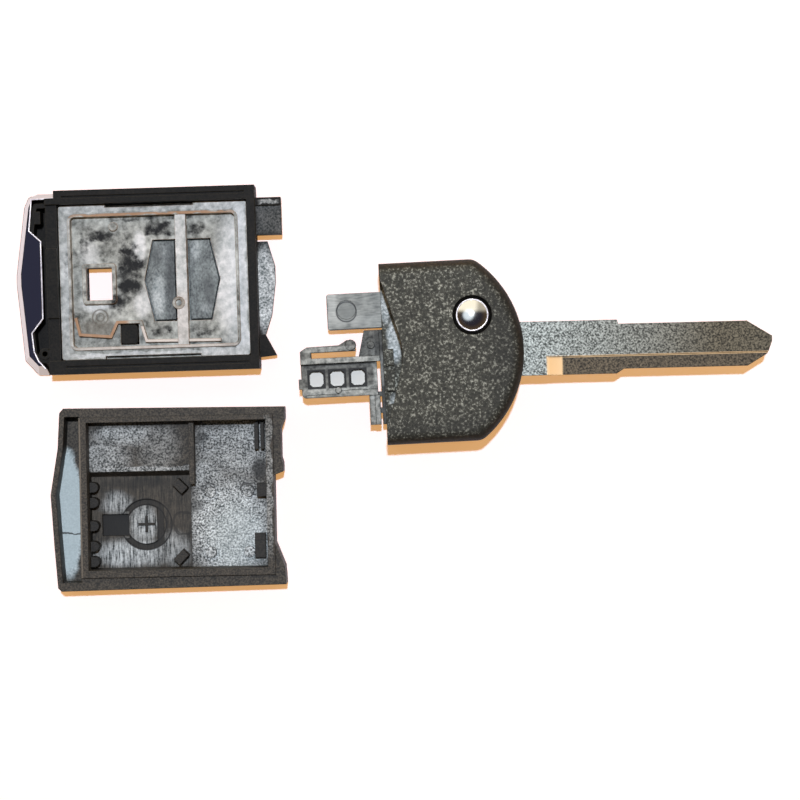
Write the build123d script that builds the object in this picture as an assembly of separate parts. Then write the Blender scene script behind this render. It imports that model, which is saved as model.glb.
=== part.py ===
from build123d import *
import math
import os

# Flip key remote shell, taken apart and laid on a table: the button half of the case and the battery half
# of the case, both with the outer face down, and the key head with its flip-out blade.
# Millimetres, +Z up, +X along the blade.

# Key head
head_width = 31.4
head_height = 14.5
head_side = 9.7            # pivot to the nearer long edge
head_back = 15.7           # pivot to the end that meets the case
head_crown = 8.7           # pivot to the top of the curved end
crown_radius = 19.4
head_corner = 2.6
head_round = 2.2           # rounding along the upper edges, in bands
round_bands = 4
head_chamfer = 1.4         # along the lower edges
head_wall = 1.6
head_floor = 1.6
head_roof = 1.7
notch_depth = 3.85         # V in the end that meets the case
notch_width = 27.2
notch_radius = 12.0
deck_drop = 0.8            # deck below the blade's slot
deck_wall = 1.2
peg_post = 2.8
peg_size = 1.5
peg_length = 2.4

# Blade
blade_thickness = 2.0
blade_height = 7.6         # underside above the table
blade_tilt = -1.6          # where the open blade stops, in degrees
blade_offset = 1.28        # pivot to the upper edge
blade_width = 9.38
blade_reach = 52.2         # pivot to the tip
shank_reach = 25.4         # pivot to the steps in both edges
upper_step = 0.72
lower_step = 0.82
tip_upper_length = 4.35
tip_lower_length = 4.25
tip_nose_width = 0.9
tip_nose_drop = 2.7
root_reach = 3.0           # past the pivot
root_top = 2.3             # pivot to the upper edge inside the hub
root_chamfer = 2.4
groove_start = 13.0
groove_side = 6.18         # upper edge of the blade to the groove
groove_depth = 0.5
groove_cutter = 8.1

# Hub, button and spring on the pivot axis
hub_radius = 5.0
collar_radius = 3.35
collar_drop = 0.3          # collar below the head's face
running_fit = 0.06
slot_fit = 0.03
lower_web = 1.6
upper_web = 0.8
bearing_wall = 1.2
button_radius = 2.8
button_rise = 0.5          # dome above the head's face
button_dome = 1.3
button_travel = 1.6
stem_size = 2.6            # square, so the button turns with the hub
neck_size = 2.0
stem_tail = 1.0
clip_radius = 3.4
clip_thickness = 0.6
clip_grip = 0.2            # each side of the clip's mouth past the neck
spring_wire = 0.44
spring_radius = 2.6
spring_turns = 3.5
spring_runs = 12           # straight runs to a turn
spring_sides = 6
spring_pocket_radius = 3.65
plug_radius = 2.9          # outside; wider on the inside
plug_foot_radius = 3.5
plug_recess = 0.2
pin_radius = 0.6
pin_bore = 0.35
pin_slit = 0.25
stud_sides = 12            # small posts and bores
pin_place = (1.5, -3.8)

# Transponder tray, a tongue that slides into the head under the deck
tray_length = 9.5          # outside the head
tray_inside = 7.0
tray_low_side = -1.1
tray_width = 6.3
tray_thickness = 2.8
tray_fit = 0.1
rail_wall = 1.1
tray_mark_radius = 1.7
tray_mark_place = 6.1      # head's end to the round mark

# Coupling frame, the ladder that slides into the case
frame_low = 4.8
frame_high = 8.4
frame_length = 14.5        # head's end to the free end
frame_plate_high = 7.2
frame_plate_wall = 1.6
beam_top = -6.0
beam_width = 1.0
finger_top = -4.0
finger_width = 1.0
finger_knob_radius = 0.95
finger_short = 3.6         # finger's tip short of the ladder's inner end
plate_bottom = -12.9
rung_pocket = (2.45, 2.65)
rung_pitch = 3.63
rung_depth = 1.0
rung_shift = (-0.4, 0.3)   # middle pocket from the middle of the plate
rung_corner = 0.5
frame_wall = 0.6
frame_wall_top = -1.5
frame_wall_bottom = -18.1
frame_gap = 0.6
frame_anchor = 4.0
frame_anchor_low = 2.0
frame_anchor_height = 2.4
frame_leg_width = 1.9
latch_nose = 0.5

# Button half of the case
case_width = 32.2
fold_clearance = 0.6       # folded blade above the button half
half_right = 18.2
half_left = 18.6
half_wall_right = 1.5
half_wall_side = 2.4
half_wall_left = 1.95
half_floor = 1.4
case_round = 1.2
nose_reach = 6.1           # nose past the left edge, at its tip and at its shoulders
nose_shoulder_reach = 4.4
nose_corner = 2.4
nose_wall = 1.1
trim_wall = 0.7
trim_flange = 0.8
trim_low = 0.6
trim_drop = 0.5            # trim below the rim of the case
trim_slope = 15.0
trim_fit = 0.06
trim_inset = 0.03          # trim's foot inside the edge of the lip it stands on
window_size = (4.5, 5.7)
window_place = (-9.65, -0.35)
socket_radius = 1.0
tab_reach = 4.5
tab_side = 13.9            # middle of the case to the tab's far edge
tab_width = 6.5
tab_low = 2.4
tab_high = 5.0
wing_reach = 3.0
wing_height = 1.9
wing_top = 6.4
wing_bottom = -10.1

# Keys, two halves of a hexagon
hexagon_x = 4.9
hexagon_point = 6.7
hexagon_shoulder = 5.1
hexagon_half_height = 7.2
key_bar = 2.1
key_play = 0.15
key_recess = 0.2
key_flange = 0.6
key_flange_thickness = 0.5
key_travel = 0.5
key_plunger_inset = 0.25
key_rise = 0.05

# Clear carrier over the keys
carrier_fit = 0.12
carrier_floor = 0.8
carrier_rim = 5.2
carrier_ledge = 4.6
carrier_border = 2.1
carrier_rib_width = 0.5
carrier_rib_height = 1.2
carrier_ridge = 0.5
carrier_gap = 0.15
carrier_bar_high = 4.9
carrier_bar = 1.9
post_size = (2.9, 3.3)
post_place = (-4.65, -9.35)
post_fit = 0.15

# Battery half of the case
back_right = 20.6
back_nose = 20.5
back_shoulder = 18.0
back_slack = 0.1           # narrower than the button half, each side
lip_height = 0.8
lip_wall = 1.3
lip_high_side = 1.7        # case edge to the lip wall
lip_low_side = 2.3
lip_right_side = 2.0
lip_nose_side = 5.2
back_rim = 0.9
back_floor = 1.6
scoop_floor = 2.4
board_step = 1.4           # circuit floor above the battery floor
platform_step = 2.8        # corner platform above the battery floor
platform_slope = 0.9
cell_diameter = 16.0
cell_play = 0.1
bump_reach = 1.5
keeper_size = (2.4, 1.5)
keeper_height = 3.0
stud_radius = 1.0
stud_height = 0.5
stud_inset = 3.4           # studs from the edges of the circuit floor
stud_row = 0.8

# How the three units lie
button_half_turn = 1.8
battery_half_turn = 1.2
head_turn = 3.0
row_gap = 6.0
row_shift = 2.7
head_gap = 2.3
head_drop = 6.4

seam = blade_height + blade_thickness / 2
slot_play = 0.2
slot_low = blade_height - slot_play
slot_high = blade_height + blade_thickness + slot_play
deck_top = slot_low - deck_drop
front_height = blade_height - fold_clearance
back_height = head_height - front_height
nose_tip = half_left + nose_reach
nose_shoulder = half_left + nose_shoulder_reach


def block(x_low, x_high, y_low, y_high, z_low, z_high):
    shape = Box(x_high - x_low, y_high - y_low, z_high - z_low, align=(Align.MIN, Align.MIN, Align.MIN))
    return Pos(x_low, y_low, z_low) * shape


def rod(place, radius, z_low, z_high):
    shape = Cylinder(radius, z_high - z_low, align=(Align.CENTER, Align.CENTER, Align.MIN))
    return Pos(place[0], place[1], z_low) * shape


def stud(place, radius, z_low, z_high):
    return slab(Pos(*place) * RegularPolygon(radius, stud_sides), z_low, z_high)


def outline(points):
    return make_face(Polyline(*points, close=True))


def rectangle(x_low, x_high, y_low, y_high):
    return Pos((x_low + x_high) / 2, (y_low + y_high) / 2) * Rectangle(x_high - x_low, y_high - y_low)


def slab(face, z_low, z_high):
    return Pos(0, 0, z_low) * extrude(face, z_high - z_low, dir=(0, 0, 1))


def corner_at(face, x, y):
    return face.vertices().sort_by_distance((x, y, 0))[0]


# Key head

head_middle = head_side - head_width / 2
head_far = head_side - head_width
peg_places = [(-head_back + 7.2, head_far + 4.1), (2.0, head_far + 6.1)]


def head_face(notched, run_on=0):
    half = head_width / 2
    centre_x = head_crown - crown_radius
    corner_x = centre_x + math.sqrt(crown_radius ** 2 - half ** 2)
    end_x = -head_back - run_on
    end = [(end_x, head_far)]
    if notched:
        end = [
            (-head_back, head_far),
            (-head_back, head_middle - notch_width / 2),
            (-head_back + notch_depth, head_middle),
            (-head_back, head_middle + notch_width / 2),
        ]
    edge = Polyline((corner_x, head_far), *end, (end_x, head_side), (corner_x, head_side))
    crown = ThreePointArc((corner_x, head_side), (head_crown, head_middle), (corner_x, head_far))
    face = make_face(edge + crown)
    corners = [corner_at(face, corner_x, head_side), corner_at(face, corner_x, head_far)]
    face = fillet(corners, head_corner)
    if notched:
        face = fillet([corner_at(face, -head_back + notch_depth, head_middle)], notch_radius)
    return face


def slot_zone():
    # what the blade sweeps, seen from above
    low = -(blade_offset + blade_width + 3 * slot_play)
    past = head_width
    around = rectangle(-hub_radius - 1, past, low, past)
    folded = rectangle(-past, -hub_radius, blade_offset / 2, past)
    return around + folded


def outer_edges(solid, z):
    # the end that meets the case stays sharp
    level = solid.edges().filter_by_position(Axis.Z, z - 0.01, z + 0.01)
    return level.filter_by(lambda edge: edge.center().X > -head_back + notch_depth + 0.5)


def rounded_block(face, z_low, z_high):
    # upper edges rounded in straight bands
    block_side = slab(face, z_low, z_high - head_round)
    for band in range(round_bands):
        start = math.radians(90 * band / round_bands)
        stop = math.radians(90 * (band + 1) / round_bands)
        low = head_round * math.sin(start)
        high = head_round * math.sin(stop)
        inset = head_round * (1 - math.cos(start))
        lean = math.degrees(math.atan2(head_round * (math.cos(start) - math.cos(stop)), high - low))
        step = extrude(offset(face, -inset), high - low, dir=(0, 0, 1), taper=lean)
        block_side += Pos(0, 0, z_high - head_round + low) * step
    return block_side


def square_peg(place, size, z_low, z_high):
    return slab(Pos(*place) * Rectangle(size, size), z_low, z_high)


def head_front_shell():
    past_end = head_face(False, 2 * head_round)
    outer = rounded_block(past_end, seam, head_height) & slab(head_face(True), seam, head_height)
    roof = head_height - head_roof
    cavity = slab(offset(head_face(True), -head_wall), seam, roof)
    shell = outer - cavity
    shell -= slab(slot_zone(), seam, slot_high)
    for place in peg_places:
        shell += square_peg(place, peg_post, seam, roof)
        shell -= square_peg(place, peg_size + 2 * running_fit, seam, seam + peg_length + running_fit)
    return shell - rod((0, 0), collar_radius + running_fit, roof, head_height)


def head_back_shell():
    outer = slab(head_face(False), 0, deck_top)
    outer = chamfer(outer_edges(outer, 0), head_chamfer)
    outer += slab(head_face(True), deck_top, seam)
    inner_low = slab(offset(head_face(False), -head_wall), head_floor, deck_top - deck_wall)
    inner_high = slab(offset(head_face(True), -head_wall), deck_top - deck_wall, seam)
    shell = outer - inner_low - inner_high
    shell -= slab(slot_zone(), slot_low, seam)
    bearing = rod((0, 0), hub_radius + running_fit + bearing_wall, head_floor, deck_top)
    shell += bearing - rod((0, 0), hub_radius + running_fit, head_floor, deck_top)
    for place in peg_places:
        shell += square_peg(place, peg_post, head_floor, seam)
        shell += square_peg(place, peg_size, seam, seam + peg_length)
    shell -= plug_taper(slot_fit, 0)
    tray_low, tray_high = tray_sides()
    rail_start = -head_back + head_wall
    rail_end = -head_back + tray_inside
    for rail in (tray_low - rail_wall, tray_high):
        shell += block(rail_start, rail_end, rail, rail + rail_wall, head_floor, deck_top - deck_wall)
    tray_top = head_floor + tray_thickness + tray_fit
    shell -= block(-head_back, -head_back + head_wall, tray_low, tray_high, head_floor, tray_top)
    anchor_low, anchor_high = anchor_sides()
    shell -= block(
        -head_back, -head_back + head_wall, anchor_low - tray_fit, anchor_high + tray_fit,
        frame_anchor_low - tray_fit, frame_anchor_low + frame_anchor_height + tray_fit,
    )
    # keepers on the deck beside the coupling frame
    for low, high, rise in [(-12.3, -8.7, 1.1), (-7.9, -5.0, 0.8), (-17.0, -14.6, 0.8)]:
        shell += block(-head_back + 0.4, -head_back + 1.8, low, high, deck_top, deck_top + rise)
    return shell


def tray_sides():
    return tray_low_side - tray_fit, tray_low_side + tray_width + tray_fit


def transponder_tray():
    end = -head_back - tray_length
    low = tray_low_side
    high = low + tray_width
    base = head_floor + slot_fit
    top = head_floor + tray_thickness
    tray = block(end, -head_back + tray_inside, low, high, base, top)
    tray = fillet(tray.edges().filter_by(Axis.Z).sort_by(Axis.X)[:2], 0.4)
    mark = (-head_back - tray_mark_place, low + tray_width / 2 + 0.3)
    tray -= stud(mark, tray_mark_radius, top - 0.15, top)
    # pocket for the transponder wedge, open underneath
    wedge = block(-head_back - 3.4, -head_back + tray_inside - 1.2, low + 1.3, high - 1.3, base, top - 0.9)
    return tray - wedge


def anchor_sides():
    return plate_bottom, beam_top - beam_width


def coupling_frame():
    face_x = -head_back
    wall_x = face_x - frame_wall
    inner_x = wall_x - frame_gap
    end_x = face_x - frame_length
    # wall against the head with its anchor through the head's end
    frame = block(wall_x, face_x, frame_wall_bottom, frame_wall_top, frame_anchor_low, deck_top)
    anchor_low, anchor_high = anchor_sides()
    anchor_top = frame_anchor_low + frame_anchor_height
    frame += block(face_x, face_x + frame_anchor, anchor_low, anchor_high, frame_anchor_low, anchor_top)
    # upper beam, and the springy finger above it
    frame += block(end_x, wall_x, beam_top - beam_width, beam_top, frame_low, frame_high)
    frame += block(end_x, end_x + 1.9, beam_top, finger_top - 0.8, frame_low, frame_high)
    tip_x = inner_x - finger_short
    finger = outline([
        (end_x, finger_top - finger_width), (end_x, finger_top - 0.7), (end_x + 1.2, finger_top),
        (tip_x - 2.9, finger_top + 0.1), (tip_x - 1.4, finger_top + 0.95), (tip_x - 0.1, finger_top + 0.6),
        (tip_x, finger_top - finger_width),
    ])
    frame += slab(finger, frame_low, frame_high)
    knob = (tip_x - 0.8, finger_top + 0.05)
    frame += stud(knob, finger_knob_radius, frame_low, frame_high + 0.3)
    # plate with its row of square pockets
    plate_low = frame_plate_high - frame_plate_wall
    plate = rectangle(end_x, inner_x, plate_bottom, beam_top - beam_width / 2)
    plate = fillet([corner_at(plate, end_x, plate_bottom)], 0.8)
    pocket_x = (end_x + inner_x) / 2 + rung_shift[0]
    pocket_y = (plate_bottom + beam_top - beam_width) / 2 + rung_shift[1]
    frame += slab(plate, plate_low, frame_plate_high)
    for step in (-1, 0, 1):
        pocket = Pos(pocket_x + step * rung_pitch, pocket_y) * Rectangle(*rung_pocket)
        pocket = chamfer(pocket.vertices(), rung_corner)
        frame -= slab(pocket, frame_plate_high - rung_depth, frame_plate_high)
    # rims along the plate, a latch nose at its free end and a locating pip
    pip_x = end_x + 6.4
    frame += block(pip_x, inner_x, plate_bottom, plate_bottom + 1.1, plate_low, frame_plate_high + 0.4)
    frame += block(end_x + 0.7, pip_x, plate_bottom, plate_bottom + 0.5, plate_low, frame_plate_high + 0.4)
    frame += stud((pip_x, plate_bottom + 1.2), 0.55, plate_low, frame_plate_high + 0.7)
    latch_low = plate_bottom + 1.6
    frame += block(end_x - latch_nose, end_x, latch_low, latch_low + 1.8, plate_low, frame_plate_high)
    # leg beside the head, tied to the wall by two short bridges
    leg_right = inner_x + 0.3
    leg_left = leg_right - frame_leg_width
    leg_low = frame_low - 1.2
    frame += block(leg_left, leg_right, frame_wall_bottom, plate_bottom, leg_low, frame_plate_high)
    frame += block(leg_right - 0.9, leg_right, frame_wall_bottom, plate_bottom, frame_low, frame_high - 0.6)
    frame += block(leg_right - 0.7, wall_x, plate_bottom - 0.3, plate_bottom + 0.6, frame_low, deck_top)
    frame += block(leg_right - 0.3, wall_x, plate_bottom - 3.2, plate_bottom - 2.2, frame_low, deck_top)
    # bracket under the transponder tray
    bracket_top = frame_plate_high - 0.5
    bracket = outline([
        (inner_x - 2.0, frame_wall_top), (wall_x, frame_wall_top), (wall_x, beam_top),
        (inner_x - 3.1, beam_top),
    ])
    frame += slab(bracket, leg_low, bracket_top)
    return frame + stud((inner_x - 0.9, beam_top + 1.9), 0.65, bracket_top, frame_plate_high)


def key_blade():
    top = -blade_offset
    low = top - blade_width
    tip = blade_reach
    nose_high = top - upper_step - tip_nose_drop
    nose_low = nose_high - tip_nose_width
    shape = outline([
        (-root_reach, -root_top),
        (hub_radius + 0.4, -root_top),
        (hub_radius + 1.0, top),
        (shank_reach - 0.1, top),
        (shank_reach + 0.1, top - upper_step),
        (tip - tip_upper_length, top - upper_step),
        (tip, nose_high),
        (tip, nose_low),
        (tip - 0.8, nose_low - 2.2),
        (tip - tip_lower_length, low + lower_step),
        (shank_reach + 1.0, low + lower_step),
        (shank_reach - 0.3, low),
        (-root_reach + root_chamfer, low),
        (-root_reach, low + root_chamfer),
    ])
    base = blade_height
    face = blade_height + blade_thickness
    blade = slab(shape, base, face)
    edge = top - groove_side
    runout = math.sqrt(groove_cutter ** 2 - (groove_cutter - groove_depth) ** 2)
    full_x = groove_start + runout
    past = tip + 1
    groove = block(full_x, past, low - 1, edge, face - groove_depth, face)
    cutter = Cylinder(groove_cutter, edge - low + 1, rotation=(90, 0, 0))
    sink = groove_cutter - groove_depth
    groove += Pos(full_x, (edge + low - 1) / 2, face + sink) * cutter
    blade -= groove
    blade -= mirror(groove, Plane.XY.offset((base + face) / 2))
    return blade - rod(pin_place, pin_radius + slot_fit / 2, base, face)


hub_slot_low = blade_height - slot_fit
hub_slot_high = blade_height + blade_thickness + slot_fit
pocket_top = hub_slot_low - lower_web
button_floor = hub_slot_high + upper_web
hub_top = head_height - head_roof - slot_fit
pin_low = pocket_top + 0.25
pin_high = hub_top - 0.7


def pivot_hub():
    profile = outline([
        (0, head_floor), (hub_radius, head_floor), (hub_radius, hub_top), (collar_radius, hub_top),
        (collar_radius, head_height - collar_drop), (0, head_height - collar_drop),
    ])
    hub = revolve(Plane.XZ * profile, Axis.Z)
    hub -= rod((0, 0), spring_pocket_radius, head_floor, pocket_top)
    hub -= rod((0, 0), button_radius + running_fit, button_floor, head_height)
    hub -= square_peg((0, 0), stem_size + 2 * running_fit, pocket_top, button_floor)
    past = hub_radius + 1
    hub -= block(-past, past, -past, -root_top + slot_fit, hub_slot_low, hub_slot_high)
    hub -= rod(pin_place, pin_radius + slot_fit / 2, pin_low - slot_fit, hub_top)
    # drive notch for the spring in the foot of the hub
    hub -= block(-0.6, 0.6, spring_pocket_radius - 0.5, hub_radius - 0.5, head_floor, head_floor + 1.2)
    return hub


def blade_roll_pin():
    pin = rod(pin_place, pin_radius, pin_low, pin_high) - stud(pin_place, pin_bore, pin_low, pin_high)
    slit_x = pin_place[0]
    slit_y = pin_place[1]
    return pin - block(slit_x - pin_slit / 2, slit_x + pin_slit / 2, slit_y - 1, slit_y, pin_low, pin_high)


clip_top = pocket_top - slot_fit
clip_low = clip_top - clip_thickness


def release_button():
    head_low = button_floor + button_travel + slot_fit
    crown = head_height + button_rise
    shoulder = crown - button_dome
    rim = button_radius - 0.2
    ball = (rim ** 2 + (button_dome - 0.1) ** 2) / (2 * (button_dome - 0.1))
    half_turn = math.asin(rim / ball) / 2
    dome_middle = (ball * math.sin(half_turn), crown - ball + ball * math.cos(half_turn))
    dome_edge = (rim, shoulder + 0.1)
    edge = Polyline((0, head_low), (button_radius, head_low), (button_radius, shoulder), dome_edge)
    dome = ThreePointArc(dome_edge, dome_middle, (0, crown))
    axis = Line((0, crown), (0, head_low))
    button = revolve(Plane.XZ * make_face(edge + dome + axis), Axis.Z)
    button += square_peg((0, 0), stem_size, clip_top, head_low)
    button += square_peg((0, 0), neck_size, clip_low, clip_top)
    return button + square_peg((0, 0), stem_size, clip_low - stem_tail, clip_low)


def button_retainer():
    ring = rod((0, 0), clip_radius, clip_low, clip_top)
    ring -= square_peg((0, 0), neck_size + 2 * slot_fit, clip_low, clip_top)
    mouth = neck_size - 2 * clip_grip
    return ring - block(0, clip_radius + 1, -mouth / 2, mouth / 2, clip_low, clip_top)


def flip_spring():
    # coiled in short straight runs, with flats on the wire
    bottom = head_floor + slot_fit + spring_wire / 2
    top = clip_low - slot_fit - spring_wire / 2
    runs = round(spring_turns * spring_runs)
    points = []
    for run in range(runs + 1):
        turn = 2 * math.pi * run / spring_runs
        rise = (top - bottom) * run / runs
        points.append((spring_radius * math.cos(turn), spring_radius * math.sin(turn), bottom + rise))
    path = Polyline(*points)
    section = Plane(path @ 0, z_dir=path % 0) * RegularPolygon(spring_wire / 2, spring_sides)
    return sweep(section, path, transition=Transition.RIGHT)


def plug_taper(gap, z_low):
    # narrows towards the outer face of the head
    slope = (plug_foot_radius - plug_radius) / (head_floor - plug_recess)
    low = plug_radius + gap - slope * (plug_recess - z_low)
    taper = outline([(0, z_low), (low, z_low), (plug_foot_radius + gap, head_floor), (0, head_floor)])
    return revolve(Plane.XZ * taper, Axis.Z)


def pivot_plug():
    # turning slot in the outer face
    return plug_taper(0, plug_recess) - block(-2, 2, -0.4, 0.4, plug_recess, plug_recess + 0.5)


# Button half of the case

case_half = case_width / 2
well_left = -half_left + half_wall_left
well_right = half_right - half_wall_right
well_side = case_half - half_wall_side


def nose_face():
    # end of the case under and over the trim, run on to the right inside the case
    run_on = 10
    left = -nose_shoulder
    return outline([
        (-run_on, case_half), (left + nose_corner, case_half),
        (left + nose_corner / 3, case_half - nose_corner / 4), (left, case_half - nose_corner),
        (-nose_tip, 1.8), (-nose_tip, -0.4), (left - 0.6, -case_half + 2.7),
        (left + 1.8, -case_half), (-run_on, -case_half),
    ])


def trim_edge():
    # the trim's inner edge seen from above, a broad tongue between two notches
    past = nose_tip + 6
    notch_x = -half_left - 2.9
    tongue_x = -half_left - 0.9
    return outline([
        (-half_left + 1.6, case_half + 1), (-half_left + 1.6, case_half - 1.3),
        (notch_x + 0.6, case_half - 1.4), (notch_x, 9.2), (tongue_x, 7.3), (tongue_x, -6.2),
        (notch_x, -8.7), (notch_x + 0.3, -12.0),
        (notch_x + 1.0, -13.6), (notch_x + 2.2, -case_half + 1.1), (notch_x + 2.2, -case_half - 1),
        (-past, -case_half - 1), (-past, case_half + 1),
    ])


def drafted_nose(inset, z_low, z_high):
    # the nose leans inwards as it rises from the foot of the trim
    lean = math.tan(math.radians(trim_slope))
    foot = offset(nose_face(), -inset - lean * (z_low - trim_low))
    return Pos(0, 0, z_low) * extrude(foot, z_high - z_low, dir=(0, 0, 1), taper=trim_slope)


def end_trim():
    top = front_height - trim_drop
    body = drafted_nose(trim_inset, trim_low, top)
    hollow = drafted_nose(trim_wall, trim_low, top - trim_flange)
    return (body - hollow) & slab(trim_edge(), trim_low, top)


def key_face(side, grow):
    inner = hexagon_x + side * key_bar / 2
    shoulder = hexagon_x + side * hexagon_shoulder
    point = hexagon_x + side * hexagon_point
    face = outline([
        (inner, hexagon_half_height), (shoulder, hexagon_half_height), (point, 0),
        (shoulder, -hexagon_half_height), (inner, -hexagon_half_height),
    ])
    if grow == 0:
        return face
    return offset(face, grow, kind=Kind.INTERSECTION)


def left_of(x):
    return rectangle(-2 * nose_tip, x, -case_width, case_width)


def front_shell():
    core = rectangle(-half_left, half_right, -case_half, case_half) - trim_edge()
    shell = slab(core, 0, front_height)
    low_edges = shell.edges().filter_by_position(Axis.Z, -0.01, 0.01).filter_by(Axis.X)
    shell = fillet(low_edges.sort_by(SortBy.LENGTH)[-2:], case_round)
    # lip that the trim stands on, and the nose inside the trim
    lip_sides = rectangle(-2 * nose_tip, -half_left + 3, -case_half + 0.4, case_half - 0.4)
    shell += slab(nose_face() & lip_sides, 0, trim_low)
    under_trim = front_height - trim_drop - trim_flange - trim_fit
    nose = drafted_nose(trim_wall + trim_fit, trim_low, under_trim)
    shell += nose & slab(left_of(-half_left + 1.5), 0, front_height)
    # hollow of the nose between the trim and the left wall
    hollow = offset(nose_face(), -(trim_wall + trim_fit + nose_wall + 1))
    hollow = hollow & rectangle(-2 * nose_tip, -half_left, -case_half + 2.9, case_half - 2.9)
    shell -= slab(hollow, half_floor, front_height)
    # well for the carrier, with a lower left wall that is thicker in the middle
    shell -= block(well_left, well_right, -well_side, well_side, half_floor, front_height)
    wall_top = front_height - 1.0
    shell -= block(-half_left - 1, well_left, 6.0, well_side, wall_top, front_height)
    shell -= block(-half_left - 1, well_left, -well_side, -6.2, wall_top, front_height)
    # window and openings for the two keys
    shell -= slab(Pos(*window_place) * Rectangle(*window_size), 0, half_floor)
    for side in (-1, 1):
        shell -= slab(key_face(side, key_play), 0, half_floor)
    shell += slab(Pos(*post_place) * RectangleRounded(*post_size, 0.5), half_floor, carrier_ledge)
    # groove along the top of both long walls
    for side in (-1, 1):
        low = side * (case_half - half_wall_side / 2) - 0.2
        shell -= block(-half_left + 3, half_right - 1.8, low, low + 0.4, front_height - 0.5, front_height)
    # clip and socket in the nose
    shell += block(-half_left - 2.0, -half_left - 0.9, 10.4, 12.6, half_floor, wall_top)
    socket = (-half_left - socket_radius + 0.2, -case_half + 3.7)
    shell += stud(socket, socket_radius, half_floor, wall_top)
    shell -= stud(socket, socket_radius - 0.5, half_floor, wall_top)
    # tab, wing and foot that meet the key head
    root_x = half_right - 0.3
    tab_rim = tab_side - 1.4
    shell += block(root_x, half_right + tab_reach, tab_side - tab_width, tab_rim, tab_low, tab_high)
    shell += block(root_x, half_right + tab_reach, tab_rim, tab_side, tab_low, tab_high + 0.7)
    tip = half_right + wing_reach
    wing = outline([
        (root_x, wing_top), (tip - 1.2, wing_top), (tip, 2.1), (tip, -0.9), (tip - 0.8, -6.6),
        (tip - 2.0, wing_bottom), (root_x, wing_bottom),
    ])
    shell += slab(wing, 0, wing_height)
    foot = outline([
        (root_x, wing_bottom), (tip - 2.0, wing_bottom), (tip - 0.1, wing_bottom - 3.7),
        (root_x, wing_bottom - 4.0),
    ])
    return shell + slab(foot, wing_height - 1.1, wing_height + 1.5)


def key(side):
    top = half_floor + key_rise
    flange_top = top + key_flange_thickness
    shape = slab(key_face(side, 0), key_recess, top)
    shape += slab(key_face(side, key_flange), top, flange_top)
    shape += slab(key_face(side, -key_plunger_inset), flange_top, carrier_base() + carrier_floor - 0.25)
    return shape


def carrier_base():
    return half_floor + key_rise + key_flange_thickness + key_travel + carrier_gap


def keypad_carrier():
    left = well_left + carrier_fit
    right = well_right - carrier_fit
    side = well_side - carrier_fit
    inner_side = side - carrier_border
    outer = fillet(rectangle(left, right, -side, side).vertices(), 0.5)
    border = rectangle(left + carrier_border, right - carrier_border, -inner_side, inner_side)
    border = fillet(border.vertices(), 0.8)
    base = carrier_base()
    floor = base + carrier_floor
    carrier = slab(outer - border, half_floor, carrier_ledge)
    carrier += slab(offset(border, carrier_ridge) - border, carrier_ledge, carrier_rim)
    carrier += slab(border, base, floor)
    # raised frame round the window
    window = Pos(*window_place) * Rectangle(*window_size)
    window_frame = fillet(offset(window, 0.7, kind=Kind.INTERSECTION).vertices(), 0.6)
    carrier += slab(window_frame, base, carrier_ledge)
    carrier -= slab(window, base, carrier_ledge)
    for hexagon_side in (-1, 1):
        carrier -= slab(key_face(hexagon_side, 0), base, floor)
    # bar across the hexagon, tied to the ridge at both ends, with a gate mark
    bar_left = hexagon_x - carrier_bar / 2
    bar = rectangle(bar_left, bar_left + carrier_bar, -inner_side, inner_side)
    carrier += slab(bar, base, carrier_bar_high)
    gate = (bar_left + 0.3, -4.1)
    gate_top = carrier_bar_high + 0.2
    carrier += stud(gate, 1.1, floor + key_travel, gate_top)
    carrier -= stud(gate, 0.6, gate_top - 0.6, gate_top)
    # low rib that guides the circuit board, and a stud
    rib = Polyline(
        (-14.0, -6.2), (-13.3, -9.2), (-7.9, -9.7), (-6.7, -7.2), (-2.6, -7.2), (-1.6, -10.6),
        (11.5, -10.8),
    )
    carrier += slab(trace(rib, carrier_rib_width), floor, floor + carrier_rib_height)
    carrier += stud((-7.0, 9.7), 0.8, floor, floor + 0.9)
    notch = Rectangle(post_size[0] + 2 * post_fit, post_size[1] + 2 * post_fit)
    carrier -= slab(Pos(*post_place) * notch, half_floor, carrier_rim)
    # set-back stretches between the corner pads
    carrier -= block(-8.3, 7.2, side - 0.5, side + 1, base, carrier_ledge)
    carrier -= block(-8.9, 7.9, -side - 1, -side + 0.5, base, carrier_ledge)
    return carrier


# Battery half of the case

back_half = case_half - back_slack
wall_left = -back_nose + lip_nose_side
wall_right = back_right - lip_right_side
wall_low = -back_half + lip_low_side
wall_high = back_half - lip_high_side
bay_left = wall_left + lip_wall
bay_low = wall_low + lip_wall
bay_high = bay_low + cell_diameter + 2 * cell_play
cell_x = bay_left + bump_reach + cell_play + cell_diameter / 2
cell_y = (bay_low + bay_high) / 2
bay_right = cell_x + cell_diameter / 2 + cell_play


def back_face():
    right = back_right
    nose = -back_nose
    return outline([
        (right, back_half - 0.4), (right, 13.5), (right - 0.7, 11.7), (right - 0.7, 6.7),
        (right - 0.4, 5.7), (right - 0.4, 4.2), (wall_right, 3.6), (wall_right, -8.3), (right - 0.4, -12.4),
        (right - 0.2, -back_half + 0.5), (nose + 1.6, -back_half), (nose + 1.0, -back_half + 0.6),
        (nose + 0.5, -8.1), (nose, 0.9), (nose + 1.4, 9.0), (-back_shoulder - 0.7, back_half - 0.8),
        (-back_shoulder, back_half),
    ])


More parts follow.
